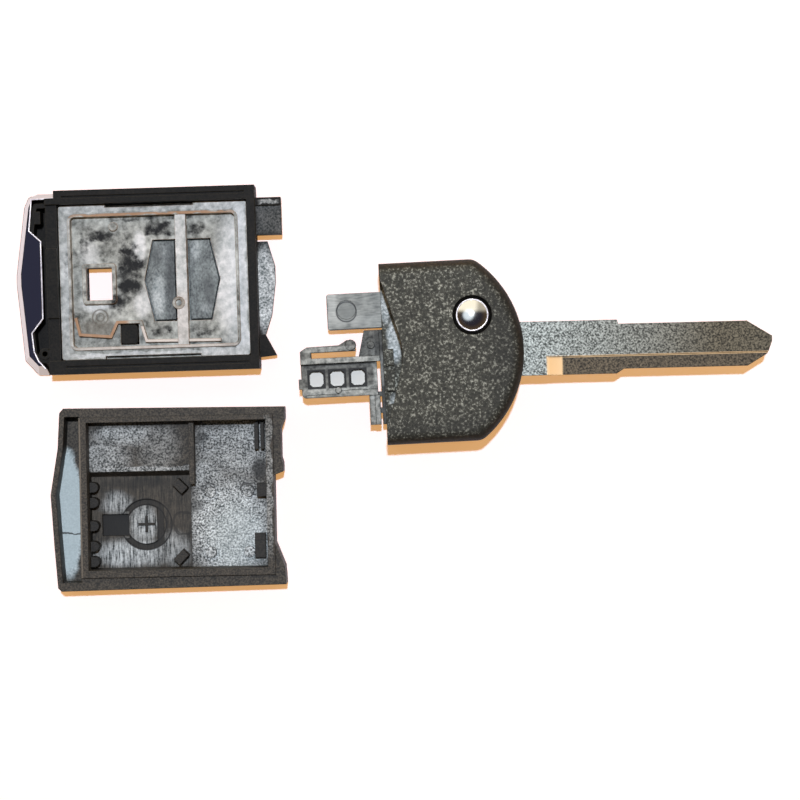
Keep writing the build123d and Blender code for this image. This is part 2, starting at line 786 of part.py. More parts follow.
def back_shell():
    lip_top = back_height + lip_height
    shell = slab(back_face(), 0, back_height)
    low_edges = shell.edges().filter_by_position(Axis.Z, -0.01, 0.01)
    shell = fillet(low_edges.sort_by(SortBy.LENGTH)[-2:], case_round)
    shell += slab(rectangle(wall_left, wall_right, wall_low, wall_high), back_floor, lip_top)
    # scoop between the lip wall and the outer rim at the nose
    scoop_sides = rectangle(-back_nose - 1, wall_left, wall_low - 0.8, wall_high + 0.2)
    scoop = offset(back_face(), -back_rim) & scoop_sides
    shell -= slab(scoop, scoop_floor, back_height)
    # three floors: battery, circuit and corner platform, which slopes down to the battery
    bay = back_floor
    board = bay + board_step
    platform = bay + platform_step
    inner_right = wall_right - lip_wall
    inner_high = wall_high - lip_wall + 0.4
    shell -= block(bay_left, bay_right, bay_low, bay_high, bay, lip_top)
    shell -= block(bay_right, inner_right, bay_low, inner_high, board, lip_top)
    shell -= block(bay_left, bay_right, bay_high + platform_slope, inner_high, platform, lip_top)
    slope = make_face(Polyline(
        (0, bay), (platform_slope, platform), (platform_slope, lip_top), (0, lip_top), close=True,
    ))
    shell -= Pos(bay_left, bay_high, 0) * extrude(Plane.YZ * slope, bay_right - bay_left, dir=(1, 0, 0))
    # upright rib between the platform and the circuit floor
    shell += block(bay_right, bay_right + 0.9, 2.3, inner_high, board, platform + 1.5)
    # contact slot, C-shaped groove round the polarity mark
    shell -= block(cell_x - 7.8, cell_x - 3.1, cell_y - 2.4, cell_y + 1.4, bay - 0.9, bay)
    mark_y = cell_y - 0.5
    ring = Pos(cell_x, mark_y) * (Circle(4.45) - Circle(3.5))
    flat_x = cell_x + 1.9
    ring = ring & rectangle(cell_x - 5, flat_x + 1.2, mark_y - 5, mark_y + 5)
    flat_side = rectangle(flat_x, flat_x + 1.2, mark_y - 3.1, mark_y + 3.1)
    mouth = rectangle(cell_x - 8, cell_x - 3.0, mark_y - 2.4, mark_y + 2.4)
    shell -= slab(ring + flat_side - mouth, bay - 0.5, bay)
    # bumps and two slanted keepers that hold the cell
    bump_radius = 0.9
    bump_x = bay_left + bump_reach - bump_radius
    for bump_shift in (6.3, 3.6, -0.5, -4.1, -6.8):
        bump_y = cell_y + bump_shift
        shell += stud((bump_x, bump_y), bump_radius, bay, bay + keeper_height)
        shell += block(
            bay_left - 0.2, bump_x, bump_y - bump_radius, bump_y + bump_radius, bay, bay + keeper_height,
        )
    keeper_ring = cell_diameter / 2 + cell_play + keeper_size[1] / 2
    for turn in (-45, 45):
        keeper = Rot(0, 0, turn) * Pos(keeper_ring, 0) * Rectangle(keeper_size[1], keeper_size[0])
        shell += slab(Pos(cell_x, cell_y) * keeper, bay, bay + keeper_height)
    # studs, channel blocks and peg on the circuit floor
    near = bay_right + stud_inset
    far = inner_right - stud_inset
    low = bay_low + stud_inset - 0.9
    high = inner_high - stud_inset - 0.6
    for place in [(near, high), (near, stud_row), (far, stud_row), (near, low), (far, low)]:
        shell += stud(place, stud_radius, board, board + stud_height)
    channel_x = inner_right - 2.1
    shell += block(channel_x, channel_x + 0.7, 8.2, 12.9, board, board + 2.6)
    shell += block(channel_x + 1.1, channel_x + 1.7, 8.2, 12.9, board, board + 2.6)
    shell += block(channel_x - 0.3, channel_x + 1.6, -10.9, -6.6, board, board + 1.8)
    return shell + block(channel_x + 0.3, inner_right + 0.1, -0.1, 2.2, board, board + 3.0)


# Laying out

def head_pieces():
    turned = Rot(0, 0, blade_tilt)
    return {
        "head_front_shell": head_front_shell(),
        "head_back_shell": head_back_shell(),
        "coupling_frame": coupling_frame(),
        "transponder_tray": transponder_tray(),
        "pivot_plug": pivot_plug(),
        "key_blade": turned * key_blade(),
        "pivot_hub": turned * pivot_hub(),
        "blade_roll_pin": turned * blade_roll_pin(),
        "flip_spring": turned * flip_spring(),
        "release_button": turned * release_button(),
        "button_retainer": turned * button_retainer(),
    }


def button_half_pieces():
    return {
        "front_shell": front_shell(),
        "end_trim": end_trim(),
        "keypad_carrier": keypad_carrier(),
        "lock_key": key(-1),
        "unlock_key": key(1),
    }


def layout():
    button_half = Rot(0, 0, button_half_turn)
    battery_half = Pos(row_shift, -case_width - row_gap, 0) * Rot(0, 0, battery_half_turn)
    head_x = half_right + tab_reach + head_gap + latch_nose + frame_length + head_back
    head = Pos(head_x, -head_drop, 0) * Rot(0, 0, head_turn)
    placed = {name: button_half * shape for name, shape in button_half_pieces().items()}
    placed["back_shell"] = battery_half * back_shell()
    placed.update({name: head * shape for name, shape in head_pieces().items()})
    # the origin is the middle of the whole at table level
    boxes = [shape.bounding_box() for shape in placed.values()]
    middle_x = (min(box.min.X for box in boxes) + max(box.max.X for box in boxes)) / 2
    middle_y = (min(box.min.Y for box in boxes) + max(box.max.Y for box in boxes)) / 2
    shift = Pos(-middle_x, -middle_y, -min(box.min.Z for box in boxes))
    units = {"button_half": shift * button_half, "battery_half": shift * battery_half, "head": shift * head}
    return units, {name: shift * shape for name, shape in placed.items()}


def main():
    units, pieces = layout()
    os.makedirs("parts", exist_ok=True)
    for name, shape in pieces.items():
        export_step(shape, f"parts/{name}.step")
    for name, place in units.items():
        print(name, "lies at", place.position, "turned", place.orientation.Z)


main()
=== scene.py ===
import bmesh
import bpy
import math
from mathutils import Matrix, Vector


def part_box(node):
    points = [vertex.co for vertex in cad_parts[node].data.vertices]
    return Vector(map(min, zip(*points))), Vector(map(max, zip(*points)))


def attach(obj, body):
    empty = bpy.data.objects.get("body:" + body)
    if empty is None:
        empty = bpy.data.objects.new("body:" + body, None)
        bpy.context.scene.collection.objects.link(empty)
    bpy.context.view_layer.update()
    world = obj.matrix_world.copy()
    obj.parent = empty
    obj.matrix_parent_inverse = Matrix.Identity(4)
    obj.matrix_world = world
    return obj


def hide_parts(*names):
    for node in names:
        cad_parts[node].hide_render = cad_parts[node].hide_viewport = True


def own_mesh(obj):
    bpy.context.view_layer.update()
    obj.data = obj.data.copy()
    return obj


# flip key remote shell, taken apart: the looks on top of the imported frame
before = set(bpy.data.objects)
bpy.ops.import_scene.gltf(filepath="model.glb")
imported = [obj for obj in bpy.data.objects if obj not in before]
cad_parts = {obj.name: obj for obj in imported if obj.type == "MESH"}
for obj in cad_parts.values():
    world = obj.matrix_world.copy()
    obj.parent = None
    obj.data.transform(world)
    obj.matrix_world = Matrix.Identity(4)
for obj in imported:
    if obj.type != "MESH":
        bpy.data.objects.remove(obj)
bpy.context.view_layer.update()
mm = 0.001
print("frame loaded,", len(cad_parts), "nodes")

# how the three units and the blade lie, in millimetres and degrees, as in the frame
units = {
    "buttonHalf": {"placeMm": (-41.638, 18.964), "turn": 1.8},
    "batteryHalf": {"placeMm": (-38.938, -19.236), "turn": 1.2},
    "head": {"placeMm": (14.062, 12.564), "turn": 3.0},
    "blade": {"placeMm": (14.062, 12.564), "turn": 1.4},
}


def linear(hexColour):
    # from sRGB hex to the linear colour that a socket takes
    channels = [int(hexColour[i:i + 2], 16) / 255 for i in (1, 3, 5)]
    return [c / 12.92 if c < 0.04045 else ((c + 0.055) / 1.055) ** 2.4 for c in channels] + [1]


def addNode(tree, kind, settings=None, links=None):
    # settings go to sockets by name or number, and to the node itself where it has no such socket
    made = tree.nodes.new(kind)
    for name, value in (settings or {}).items():
        if isinstance(name, int) or name in made.inputs:
            made.inputs[name].default_value = value
        else:
            setattr(made, name, value)
    for name, source in (links or {}).items():
        tree.links.new(source, made.inputs[name])
    return made


def newMaterial(name):
    material = bpy.data.materials.new(name)
    material.use_nodes = True
    material.node_tree.nodes.clear()
    return material, material.node_tree


def finishMaterial(tree, shader):
    addNode(tree, "ShaderNodeOutputMaterial", None, {"Surface": shader.outputs[0]})


def unitCoords(tree, unitName):
    # object coordinates, turned and moved to a unit's own axes, in millimetres
    unit = units[unitName]
    place = [part * mm for part in unit["placeMm"]] + [0]
    coords = addNode(tree, "ShaderNodeTexCoord").outputs["Object"]
    return addNode(tree, "ShaderNodeMapping", {
        "vector_type": "TEXTURE", "Location": place, "Rotation": (0, 0, math.radians(unit["turn"])),
        "Scale": (mm, mm, mm)}, {"Vector": coords}).outputs[0]


def scaled(tree, coords, sizeMm):
    sizes = sizeMm if isinstance(sizeMm, tuple) else (sizeMm, sizeMm, sizeMm)
    return addNode(tree, "ShaderNodeMapping", {"Scale": [1 / size for size in sizes]}, {
        "Vector": coords}).outputs[0]


def noise(tree, coords, sizeMm, detail=2.0, roughness=0.5):
    # sizeMm is one size, or one for each axis where the pattern is drawn out
    return addNode(tree, "ShaderNodeTexNoise", {"Scale": 1.0, "Detail": detail, "Roughness": roughness}, {
        "Vector": scaled(tree, coords, sizeMm)}).outputs[0]


def ragged(tree, coords, sizeMm, amountMm):
    # shakes coordinates, so that what is drawn by them gets an irregular edge
    shake = addNode(tree, "ShaderNodeTexNoise", {"Scale": 1.0, "Detail": 3.0}, {
        "Vector": scaled(tree, coords, sizeMm)})
    centred = addNode(tree, "ShaderNodeVectorMath", {"operation": "SUBTRACT", 1: (0.5, 0.5, 0.5)}, {
        0: shake.outputs["Color"]})
    reach = (2 * amountMm, 2 * amountMm, 0)
    wide = addNode(tree, "ShaderNodeVectorMath", {"operation": "MULTIPLY", 1: reach}, {0: centred.outputs[0]})
    moved = addNode(tree, "ShaderNodeVectorMath", {"operation": "ADD"}, {0: coords, 1: wide.outputs[0]})
    return moved.outputs[0]


def mapped(tree, value, fromRange, toRange, smooth=True):
    return addNode(tree, "ShaderNodeMapRange", {
        "interpolation_type": "SMOOTHSTEP" if smooth else "LINEAR", "From Min": fromRange[0],
        "From Max": fromRange[1], "To Min": toRange[0], "To Max": toRange[1]}, {"Value": value}).outputs[0]


def sums(tree, operation, first, second):
    # a number or a socket on either side
    made = addNode(tree, "ShaderNodeMath", {"operation": operation})
    for number, side in enumerate((first, second)):
        if isinstance(side, (int, float)):
            made.inputs[number].default_value = side
        else:
            tree.links.new(side, made.inputs[number])
    return made.outputs[0]


def heights(tree, coords, lowMm, highMm):
    # 1 between two levels, and 0 elsewhere
    height = addNode(tree, "ShaderNodeSeparateXYZ", None, {"Vector": coords}).outputs["Z"]
    return addNode(tree, "ShaderNodeMath", {
        "operation": "COMPARE", 1: (lowMm + highMm) / 2, 2: (highMm - lowMm) / 2}, {0: height}).outputs[0]


anyHeightMm = 1000      # half the height of a patch that names no levels


def zoneMask(tree, coords, zones):
    # patches given as kind, middle, half sizes, softness, weight and the levels between which they lie
    mask = None
    for kind, middle, reach, softness, weight, *levels in zones:
        size = (1, 1) if kind == "ring" else reach
        inside = addNode(tree, "ShaderNodeMapping", {
            "vector_type": "TEXTURE", "Location": (*middle, 0), "Scale": (*size, anyHeightMm)}, {
            "Vector": coords})
        if kind == "box":
            sides = addNode(tree, "ShaderNodeVectorMath", {"operation": "ABSOLUTE"}, {0: inside.outputs[0]})
            parts = addNode(tree, "ShaderNodeSeparateXYZ", None, {"Vector": sides.outputs[0]})
            away = sums(tree, "MAXIMUM", parts.outputs["X"], parts.outputs["Y"])
        else:
            away = addNode(tree, "ShaderNodeVectorMath", {"operation": "LENGTH"}, {
                0: inside.outputs[0]}).outputs["Value"]
        if kind == "ring":
            # reach is the radius and half the width of the line
            off = sums(tree, "ABSOLUTE", sums(tree, "SUBTRACT", away, reach[0]), 0)
            away = sums(tree, "DIVIDE", off, reach[1])
        patch = mapped(tree, away, (1 - softness, 1 + softness), (weight, 0))
        if levels:
            patch = sums(tree, "MULTIPLY", patch, heights(tree, coords, *levels))
        mask = patch if mask is None else sums(tree, "MAXIMUM", mask, patch)
    return mask


def ramp(tree, factor, stops):
    # stops are places with sRGB hex or linear colours
    made = addNode(tree, "ShaderNodeValToRGB", None, {"Fac": factor})
    while len(made.color_ramp.elements) < len(stops):
        made.color_ramp.elements.new(0.5)
    for element, (place, colour) in zip(made.color_ramp.elements, stops):
        element.position = place
        element.color = linear(colour) if isinstance(colour, str) else [*colour, 1]
    return made.outputs["Color"]


def twoTone(tree, value, look, dark="low", light="high"):
    # two colours of a look, at the ends of its contrast
    low, high = look["contrast"]
    return ramp(tree, value, [(low, look[dark]), (high, look[light])])


def mixed(tree, factor, first, second):
    made = addNode(tree, "ShaderNodeMix", {"data_type": "RGBA"}, {"Factor": factor})
    for name, side in (("A", first), ("B", second)):
        socket = [entry for entry in made.inputs if entry.name == name and entry.type == "RGBA"][0]
        if isinstance(side, str):
            socket.default_value = linear(side)
        else:
            tree.links.new(side, socket)
    return [entry for entry in made.outputs if entry.type == "RGBA"][0]


def blended(tree, share, first, second):
    # share is a number or a mask
    made = addNode(tree, "ShaderNodeMix", {"data_type": "FLOAT"}, {2: first, 3: second})
    if isinstance(share, float):
        made.inputs[0].default_value = share
    else:
        tree.links.new(share, made.inputs[0])
    return made.outputs[0]


def facingUp(tree, low, high):
    normal = addNode(tree, "ShaderNodeNewGeometry").outputs["Normal"]
    rise = addNode(tree, "ShaderNodeSeparateXYZ", None, {"Vector": normal}).outputs["Z"]
    return mapped(tree, rise, (low, high), (0, 1))


def softEdge(tree, radiusMm):
    # the small rounding that every moulded or stamped edge has
    return addNode(tree, "ShaderNodeBevel", {"samples": 6, "Radius": radiusMm * mm}).outputs[0]


def edgeLine(tree, rounded, low, high):
    # how far the rounded surface turns away from the plain one
    normal = addNode(tree, "ShaderNodeNewGeometry").outputs["Normal"]
    same = addNode(tree, "ShaderNodeVectorMath", {"operation": "DOT_PRODUCT"}, {0: rounded, 1: normal})
    return mapped(tree, sums(tree, "SUBTRACT", 1.0, same.outputs["Value"]), (low, high), (0, 1))


def bump(tree, height, strength, depthMm, normal):
    return addNode(tree, "ShaderNodeBump", {
        "Strength": strength, "Distance": depthMm * mm}, {"Height": height, "Normal": normal}).outputs[0]


def principled(tree, settings, links):
    shader = addNode(tree, "ShaderNodeBsdfPrincipled", settings, links)
    finishMaterial(tree, shader)


# what the moulded plastics share
moulding = {
    "grainRoughness": 0.62,
    "streakDetail": 3.0,
    "raggedShare": 0.35,            # how far a loose edge wanders, as a share of its wave's length
    "sheenFacing": (0.5, 0.9),       # how far up a face has to look to show the painted sheen
    "topFacing": (0.75, 0.97),      # and how far to count as a top and not a side, which gets painted shade
    "mottleNoise": (4.0, 0.65),
    "mottleDepth": 1.7,
    "mottleEdge": (0.2, 0.9),
    "edgeTurn": (0.02, 0.16),       # how far a rounding has to turn to get its painted highlight or shade
    "grainBump": 0.9,
}


def makePlastic(name, unitName, look):
    # grain in the base colour, a painted sheen on faces that look up, painted shade on the sides, patches
    # painted on top (mostly painted shade and highlights), and edges painted lighter or darker as highlights
    # and shade
    material, tree = newMaterial(name)
    coords = unitCoords(tree, unitName)
    loose = ragged(tree, coords, look["raggedMm"], look["raggedMm"] * moulding["raggedShare"])
    grain = noise(tree, coords, look["grainMm"], look.get("detail", 2.0), moulding["grainRoughness"])
    if "streakMm" in look:
        streak = noise(tree, coords, look["streakMm"], moulding["streakDetail"], moulding["grainRoughness"])
        grain = blended(tree, zoneMask(tree, coords, look["streaks"]), grain, streak)
    if "patchMm" in look:
        grain = blended(tree, look["patchShare"], grain, noise(tree, coords, look["patchMm"], 2.0))
    colour = ramp(tree, grain, look["shades"]) if "shades" in look else twoTone(tree, grain, look)
    # painted sheen: pale patches where the grain catches the light, on faces that look up
    sheen = zoneMask(tree, loose, look["sheen"])
    sheen = sums(tree, "MULTIPLY", sheen, facingUp(tree, *moulding["sheenFacing"]))
    colour = mixed(tree, sheen, colour, twoTone(tree, grain, look, "sheenLow", "sheenHigh"))
    # painted shade: faces that do not look up get the darker side colours
    if "shadedSideLow" in look:
        side = twoTone(tree, grain, look, "shadedSideLow", "shadedSideHigh")
        colour = mixed(tree, facingUp(tree, *moulding["topFacing"]), side, colour)
    for layer in look.get("layers", []):
        where = loose if layer.get("loose") else coords
        mask = zoneMask(tree, where, layer["zones"])
        if "mottleMm" in layer:
            # a second noise eats into the soft rim of a patch
            eaten = noise(tree, coords, layer["mottleMm"], *moulding["mottleNoise"])
            eaten = sums(tree, "MULTIPLY", sums(tree, "SUBTRACT", eaten, 0.5), moulding["mottleDepth"])
            mask = mapped(tree, sums(tree, "ADD", mask, eaten), moulding["mottleEdge"], (0, 1))
        colour = mixed(tree, mask, colour, layer["to"])
    rounded = softEdge(tree, look["edgeMm"])
    # painted highlights and shade on the small roundings: each look's edge colour, lighter or darker
    edge = sums(tree, "MULTIPLY", edgeLine(tree, rounded, *moulding["edgeTurn"]), look["edgeShare"])
    colour = mixed(tree, edge, colour, look["edgeHighlightShade"])
    normal = bump(tree, grain, moulding["grainBump"], look["depthMm"], rounded)
    principled(tree, {
        "Roughness": look["roughness"], "IOR": look["ior"], "Specular IOR Level": look["specular"],
        "Transmission Weight": look.get("transmission", 0)}, {"Base Color": colour, "Normal": normal})
    return material


# moulded ABS of the key head: spark-eroded mould, an even grain whose tips catch the light, painted into
# its colour, painted shade along the rounded sides and towards the right end and bottom, a pale painted
# sheen on the deck, and edges painted lighter as highlights
headAbs = {
    "shades": [(0.34, "#22221c"), (0.54, "#42423a"), (0.70, "#b2b4a8")],
    "contrast": (0.40, 0.66),
    "patchMm": 1.6,
    "patchShare": 0.14,
    "shadedSideLow": "#1a160d",
    "shadedSideHigh": "#3c3120",
    "sheenLow": "#8d9798",
    "sheenHigh": "#e2eaec",
    # painted sheen on the deck beside the notch
    "sheen": [
        ("oval", (-13.5, -3.4), (1.3, 3.6), 0.3, 1.0, 5.8, 7.4),
        ("oval", (-15.0, 2.4), (0.8, 3.0), 0.4, 0.85, 5.8, 7.4),
        ("oval", (-14.2, -15.8), (0.9, 2.8), 0.35, 0.6, 5.8, 7.4),
    ],
    "layers": [
        # painted shade, darker towards the right end and the bottom
        {"to": "#14120f", "loose": True, "zones": [
            ("box", (8.6, -5.0), (6.0, 24.0), 0.6, 0.5),
            ("box", (-5.0, -21.6), (22.0, 4.2), 0.5, 0.45),
        ]},
    ],
    "raggedMm": 1.5,
    "grainMm": 0.42,
    "depthMm": 0.05,
    "edgeMm": 0.22,
    "edgeHighlightShade": "#4d4941",
    "edgeShare": 0.5,
    "roughness": 0.62,
    "ior": 1.45,
    "specular": 0.28,
}

# ABS of the battery half: black, with a painted sheen where the eroded mould catches the light on its
# floors, draw marks in the battery seat, painted shade in recesses, along walls and on small features,
# pale painted highlights along the tops of its lips, and edges painted dark as shade
erodedAbs = {
    "low": "#211f1b",
    "high": "#514b42",
    "contrast": (0.40, 0.64),
    "sheenLow": "#3a4041",
    "sheenHigh": "#f4fbfc",
    # painted sheen on the floors, the scoop and the platform
    "sheen": [
        ("oval", (10.4, -5.4), (7.2, 8.4), 0.4, 0.98, 2.9, 3.6),
        ("oval", (11.5, 8.8), (6.4, 5.6), 0.5, 0.6, 2.9, 3.6),
        ("oval", (7.0, 3.0), (3.0, 4.0), 0.5, 0.6, 2.9, 3.1),
        ("oval", (-8.1, 11.2), (4.8, 2.0), 0.5, 0.62, 4.3, 4.5),
        ("oval", (-11.3, 7.2), (4.2, 3.4), 0.5, 0.5, 4.3, 4.5),
        ("box", (-5.5, 5.0), (8.5, 0.5), 0.4, 0.6, 4.3, 4.5),
        ("oval", (-2.0, 9.0), (3.5, 4.5), 0.5, 0.28, 4.3, 4.5),
        ("oval", (-18.2, -2.6), (2.6, 11.0), 0.12, 1.0, 2.3, 2.5),
        ("oval", (-9.4, -0.9), (2.6, 1.8), 0.5, 0.6, 1.5, 1.7),
        ("oval", (-7.2, -9.8), (6.0, 2.2), 0.5, 0.85, 1.5, 1.7),
        ("oval", (-5.0, -4.6), (2.4, 3.2), 0.4, 0.7, 1.5, 1.7),
        ("oval", (0.6, -9.2), (2.4, 2.6), 0.5, 0.5, 1.5, 1.7),
        ("box", (17.8, 2.0), (0.5, 11.0), 0.3, 0.35, 8.2, 8.4),
    ],
    "layers": [
        # painted highlight along the tops of the lips
        {"to": "#8a8174", "zones": [
            ("box", (0.0, 14.75), (16.6, 0.16), 0.4, 0.55, 8.2, 8.4),
            ("box", (0.0, -14.15), (16.6, 0.16), 0.4, 0.6, 8.2, 8.4),
            ("box", (-15.2, 0.3), (0.16, 14.6), 0.4, 0.6, 8.2, 8.4),
        ]},
        # more painted sheen, on the scoop and the right floor
        {"to": "#bccbcd", "loose": True, "zones": [
            ("oval", (-18.2, -2.6), (2.6, 11.0), 0.15, 0.9, 2.3, 2.5),
            ("oval", (11.6, -7.6), (4.6, 5.6), 0.5, 0.3, 2.9, 3.1),
            ("oval", (13.6, -13.0), (4.5, 0.5), 0.5, 0.4, 2.9, 3.1),
        ]},
        # painted shade in recesses and along the sides of walls and steps
        {"to": "#0b0a09", "zones": [
            ("box", (-9.85, -4.8), (2.4, 2.0), 0.04, 0.95, 0.0, 1.3),
            ("box", (-4.4, -4.8), (5.0, 5.0), 0.04, 0.6, 0.9, 1.55),
            ("box", (-13.4, -4.4), (1.2, 8.4), 0.04, 0.75, 1.7, 5.0),
            ("box", (0.8, -4.3), (2.9, 7.4), 0.04, 0.55, 1.7, 5.0),
            ("box", (16.4, 0.0), (2.2, 14.0), 0.04, 0.7, 3.7, 7.5),
            ("box", (10.0, 0.0), (5.0, 14.0), 0.04, 0.35, 3.7, 3.8),
            ("box", (-4.4, -4.75), (1.7, 1.7), 0.04, 0.55, 1.65, 2.0),
        ]},
        # painted shade on small features: grooves, rings, bumps and under the platform's edge
        {"to": "#12110f", "loose": True, "zones": [
            ("box", (-17.8, -6.0), (2.0, 0.13), 0.3, 0.85, 2.3, 2.5),
            ("ring", (2.4, -4.7), (2.0, 0.22), 0.4, 0.6, 1.5, 1.7),
            ("oval", (15.9, 4.8), (1.3, 1.8), 0.4, 0.8, 2.9, 3.1),
            ("oval", (5.6, 10.0), (0.9, 0.9), 0.5, 0.6, 2.9, 3.1),
            ("oval", (9.0, 12.4), (3.0, 0.6), 0.5, 0.5, 2.9, 3.1),
            ("oval", (4.6, -1.6), (1.4, 0.9), 0.5, 0.55, 2.9, 3.1),
            ("ring", (7.0, 1.2), (1.15, 0.2), 0.5, 0.6, 2.9, 3.1),
            ("ring", (13.6, 1.2), (0.9, 0.2), 0.5, 0.75, 2.9, 3.1),
            ("oval", (8.0, -13.2), (3.4, 0.7), 0.5, 0.6, 2.9, 3.1),
            ("oval", (-5.0, 2.6), (6.5, 0.8), 0.5, 0.5, 1.5, 1.7),
            ("box", (-5.5, 12.8), (9.0, 0.5), 0.5, 0.6, 4.3, 4.5),
        ]},
        # painted shade along the edges of the groove round the plus
        {"to": "#0a0908", "zones": [
            ("ring", (-4.4, -4.8), (3.5, 0.13), 0.4, 0.85, 0.9, 1.7),
            ("ring", (-4.4, -4.8), (4.5, 0.13), 0.4, 0.85, 0.9, 1.7),
        ]},
    ],
    "raggedMm": 2.6,
    "grainMm": 0.33,
    "patchMm": 1.6,
    "patchShare": 0.2,
    "streakMm": (0.26, 2.6, 2.6),
    "streaks": [("box", (-5.2, -4.5), (9.2, 8.4), 0.04, 0.75, 0.0, 2.0)],
    "depthMm": 0.05,
    "edgeMm": 0.16,
    "edgeHighlightShade": "#1a1713",
    "edgeShare": 0.7,
    "roughness": 0.6,
    "ior": 1.45,
    "specular": 0.3,
}

# ABS of the button half: nearly black and smooth, with a speckled painted sheen on the wing that meets the
# key head and on its tab, and edges painted lighter as highlights
polishedAbs = {
    "low": "#030302",
    "high": "#1d1a16",
    "contrast": (0.38, 0.68),
    "sheenLow": "#626b6c",
    "sheenHigh": "#fafefe",
    # painted sheen on the wing and the tab
    "sheen": [
        ("oval", (19.5, -2.2), (1.9, 7.4), 0.25, 1.0, 1.5, 2.1),
        ("box", (20.6, 10.6), (2.2, 3.0), 0.2, 0.16, 4.6, 5.2),
        ("box", (20.6, 13.1), (1.6, 0.35), 0.3, 0.6, 5.4, 6.0),
    ],
    "patchMm": 1.8,
    "patchShare": 0.3,
    "raggedMm": 1.4,
    "grainMm": 0.36,
    "depthMm": 0.03,
    "edgeMm": 0.16,
    "edgeHighlightShade": "#5c564b",
    "edgeShare": 0.5,
    "roughness": 0.58,
    "ior": 1.5,
    "specular": 0.12,
}

# ABS of the coupling frame: the same plastic, with a painted sheen on its faces, edges painted dark as
# shade, painted shade round its three windows, under the beam and in the gap by the head, and the floors
# of the windows painted pale as a reflection
couplingFrameAbs = {
    "low": "#2c2c2a",
    "high": "#7f817c",
    "contrast": (0.3, 0.7),
    "sheenLow": "#737875",
    "sheenHigh": "#d2d6d1",
    # painted sheen on the plate, the beam and the legs
    "sheen": [
        ("box", (-23.6, -11.9), (6.4, 0.8), 0.4, 0.8, 6.9, 8.0),
        ("box", (-23.6, -6.5), (6.8, 0.5), 0.3, 0.8, 8.0, 9.0),
        ("box", (-25.4, -4.5), (4.6, 0.4), 0.3, 0.6, 8.0, 9.0),
        ("box", (-16.6, -8.6), (0.9, 2.6), 0.4, 0.9, 6.0, 9.0),
        ("box", (-17.4, -14.8), (0.9, 3.2), 0.4, 0.6, 5.0, 9.0),
    ],
    "layers": [
        # painted shade round the windows, in the gap by the head and under the beam's edge
        {"to": "#0d0d0c", "zones": [
            ("box", (-27.58, -9.65), (1.6, 1.7), 0.06, 1.0, 7.1, 7.3),
            ("box", (-23.95, -9.65), (1.6, 1.7), 0.06, 1.0, 7.1, 7.3),
            ("box", (-20.32, -9.65), (1.6, 1.7), 0.06, 1.0, 7.1, 7.3),
            ("box", (-16.3, -10.0), (0.8, 8.6), 0.1, 0.55, 5.0, 6.9),
            ("box", (-23.6, -7.2), (6.8, 0.16), 0.3, 0.8, 7.1, 8.5),
        ]},
        # painted reflection: the window floors pale
        {"to": "#e2e3df", "zones": [("box", (-23.6, -9.4), (6.6, 3.4), 0.02, 0.95, 6.0, 6.4)]},
    ],
    "raggedMm": 1.2,
    "grainMm": 0.8,
    "depthMm": 0.02,
    "edgeMm": 0.24,
    "edgeHighlightShade": "#0a0a09",
    "edgeShare": 0.9,
    "roughness": 0.6,
    "ior": 1.5,
    "specular": 0.3,
}

# glass-filled nylon of the transponder tray: grey, with fibres lying along it and a round moulder's mark,
# painted highlights near its left end and lower edge, and painted shade along its edges and round the mark
trayNylon = {
    "low": "#585c5a",
    "high": "#a9ada8",
    "contrast": (0.3, 0.7),
    "sheenLow": "#9fa5a2",
    "sheenHigh": "#d4d8d4",
    # painted highlights near the left end and the lower edge
    "sheen": [
        ("box", (-24.3, 3.4), (0.8, 3.2), 0.5, 0.8),
        ("box", (-20.5, 0.4), (4.6, 0.7), 0.5, 0.4),
    ],
    "layers": [
        {"to": "#6b706d", "zones": [("ring", (-21.8, 2.0), (0.8, 0.9), 0.1, 0.5)]},
        # painted shade along the left and lower edges and round the mark
        {"to": "#1d1f1f", "zones": [
            ("box", (-25.2, 2.1), (0.12, 3.3), 0.4, 0.8),
            ("box", (-20.0, -1.1), (5.6, 0.14), 0.4, 0.8),
            ("ring", (-21.8, 2.0), (1.75, 0.12), 0.4, 0.85),
        ]},
    ],
    "raggedMm": 1.0,
    "grainMm": (1.6, 0.3, 0.5),
    "patchMm": 1.6,
    "patchShare": 0.5,
    "depthMm": 0.02,
    "edgeMm": 0.18,
    "edgeHighlightShade": "#1d1f1f",
    "edgeShare": 0.75,
    "roughness": 0.5,
    "ior": 1.5,
    "specular": 0.3,
}
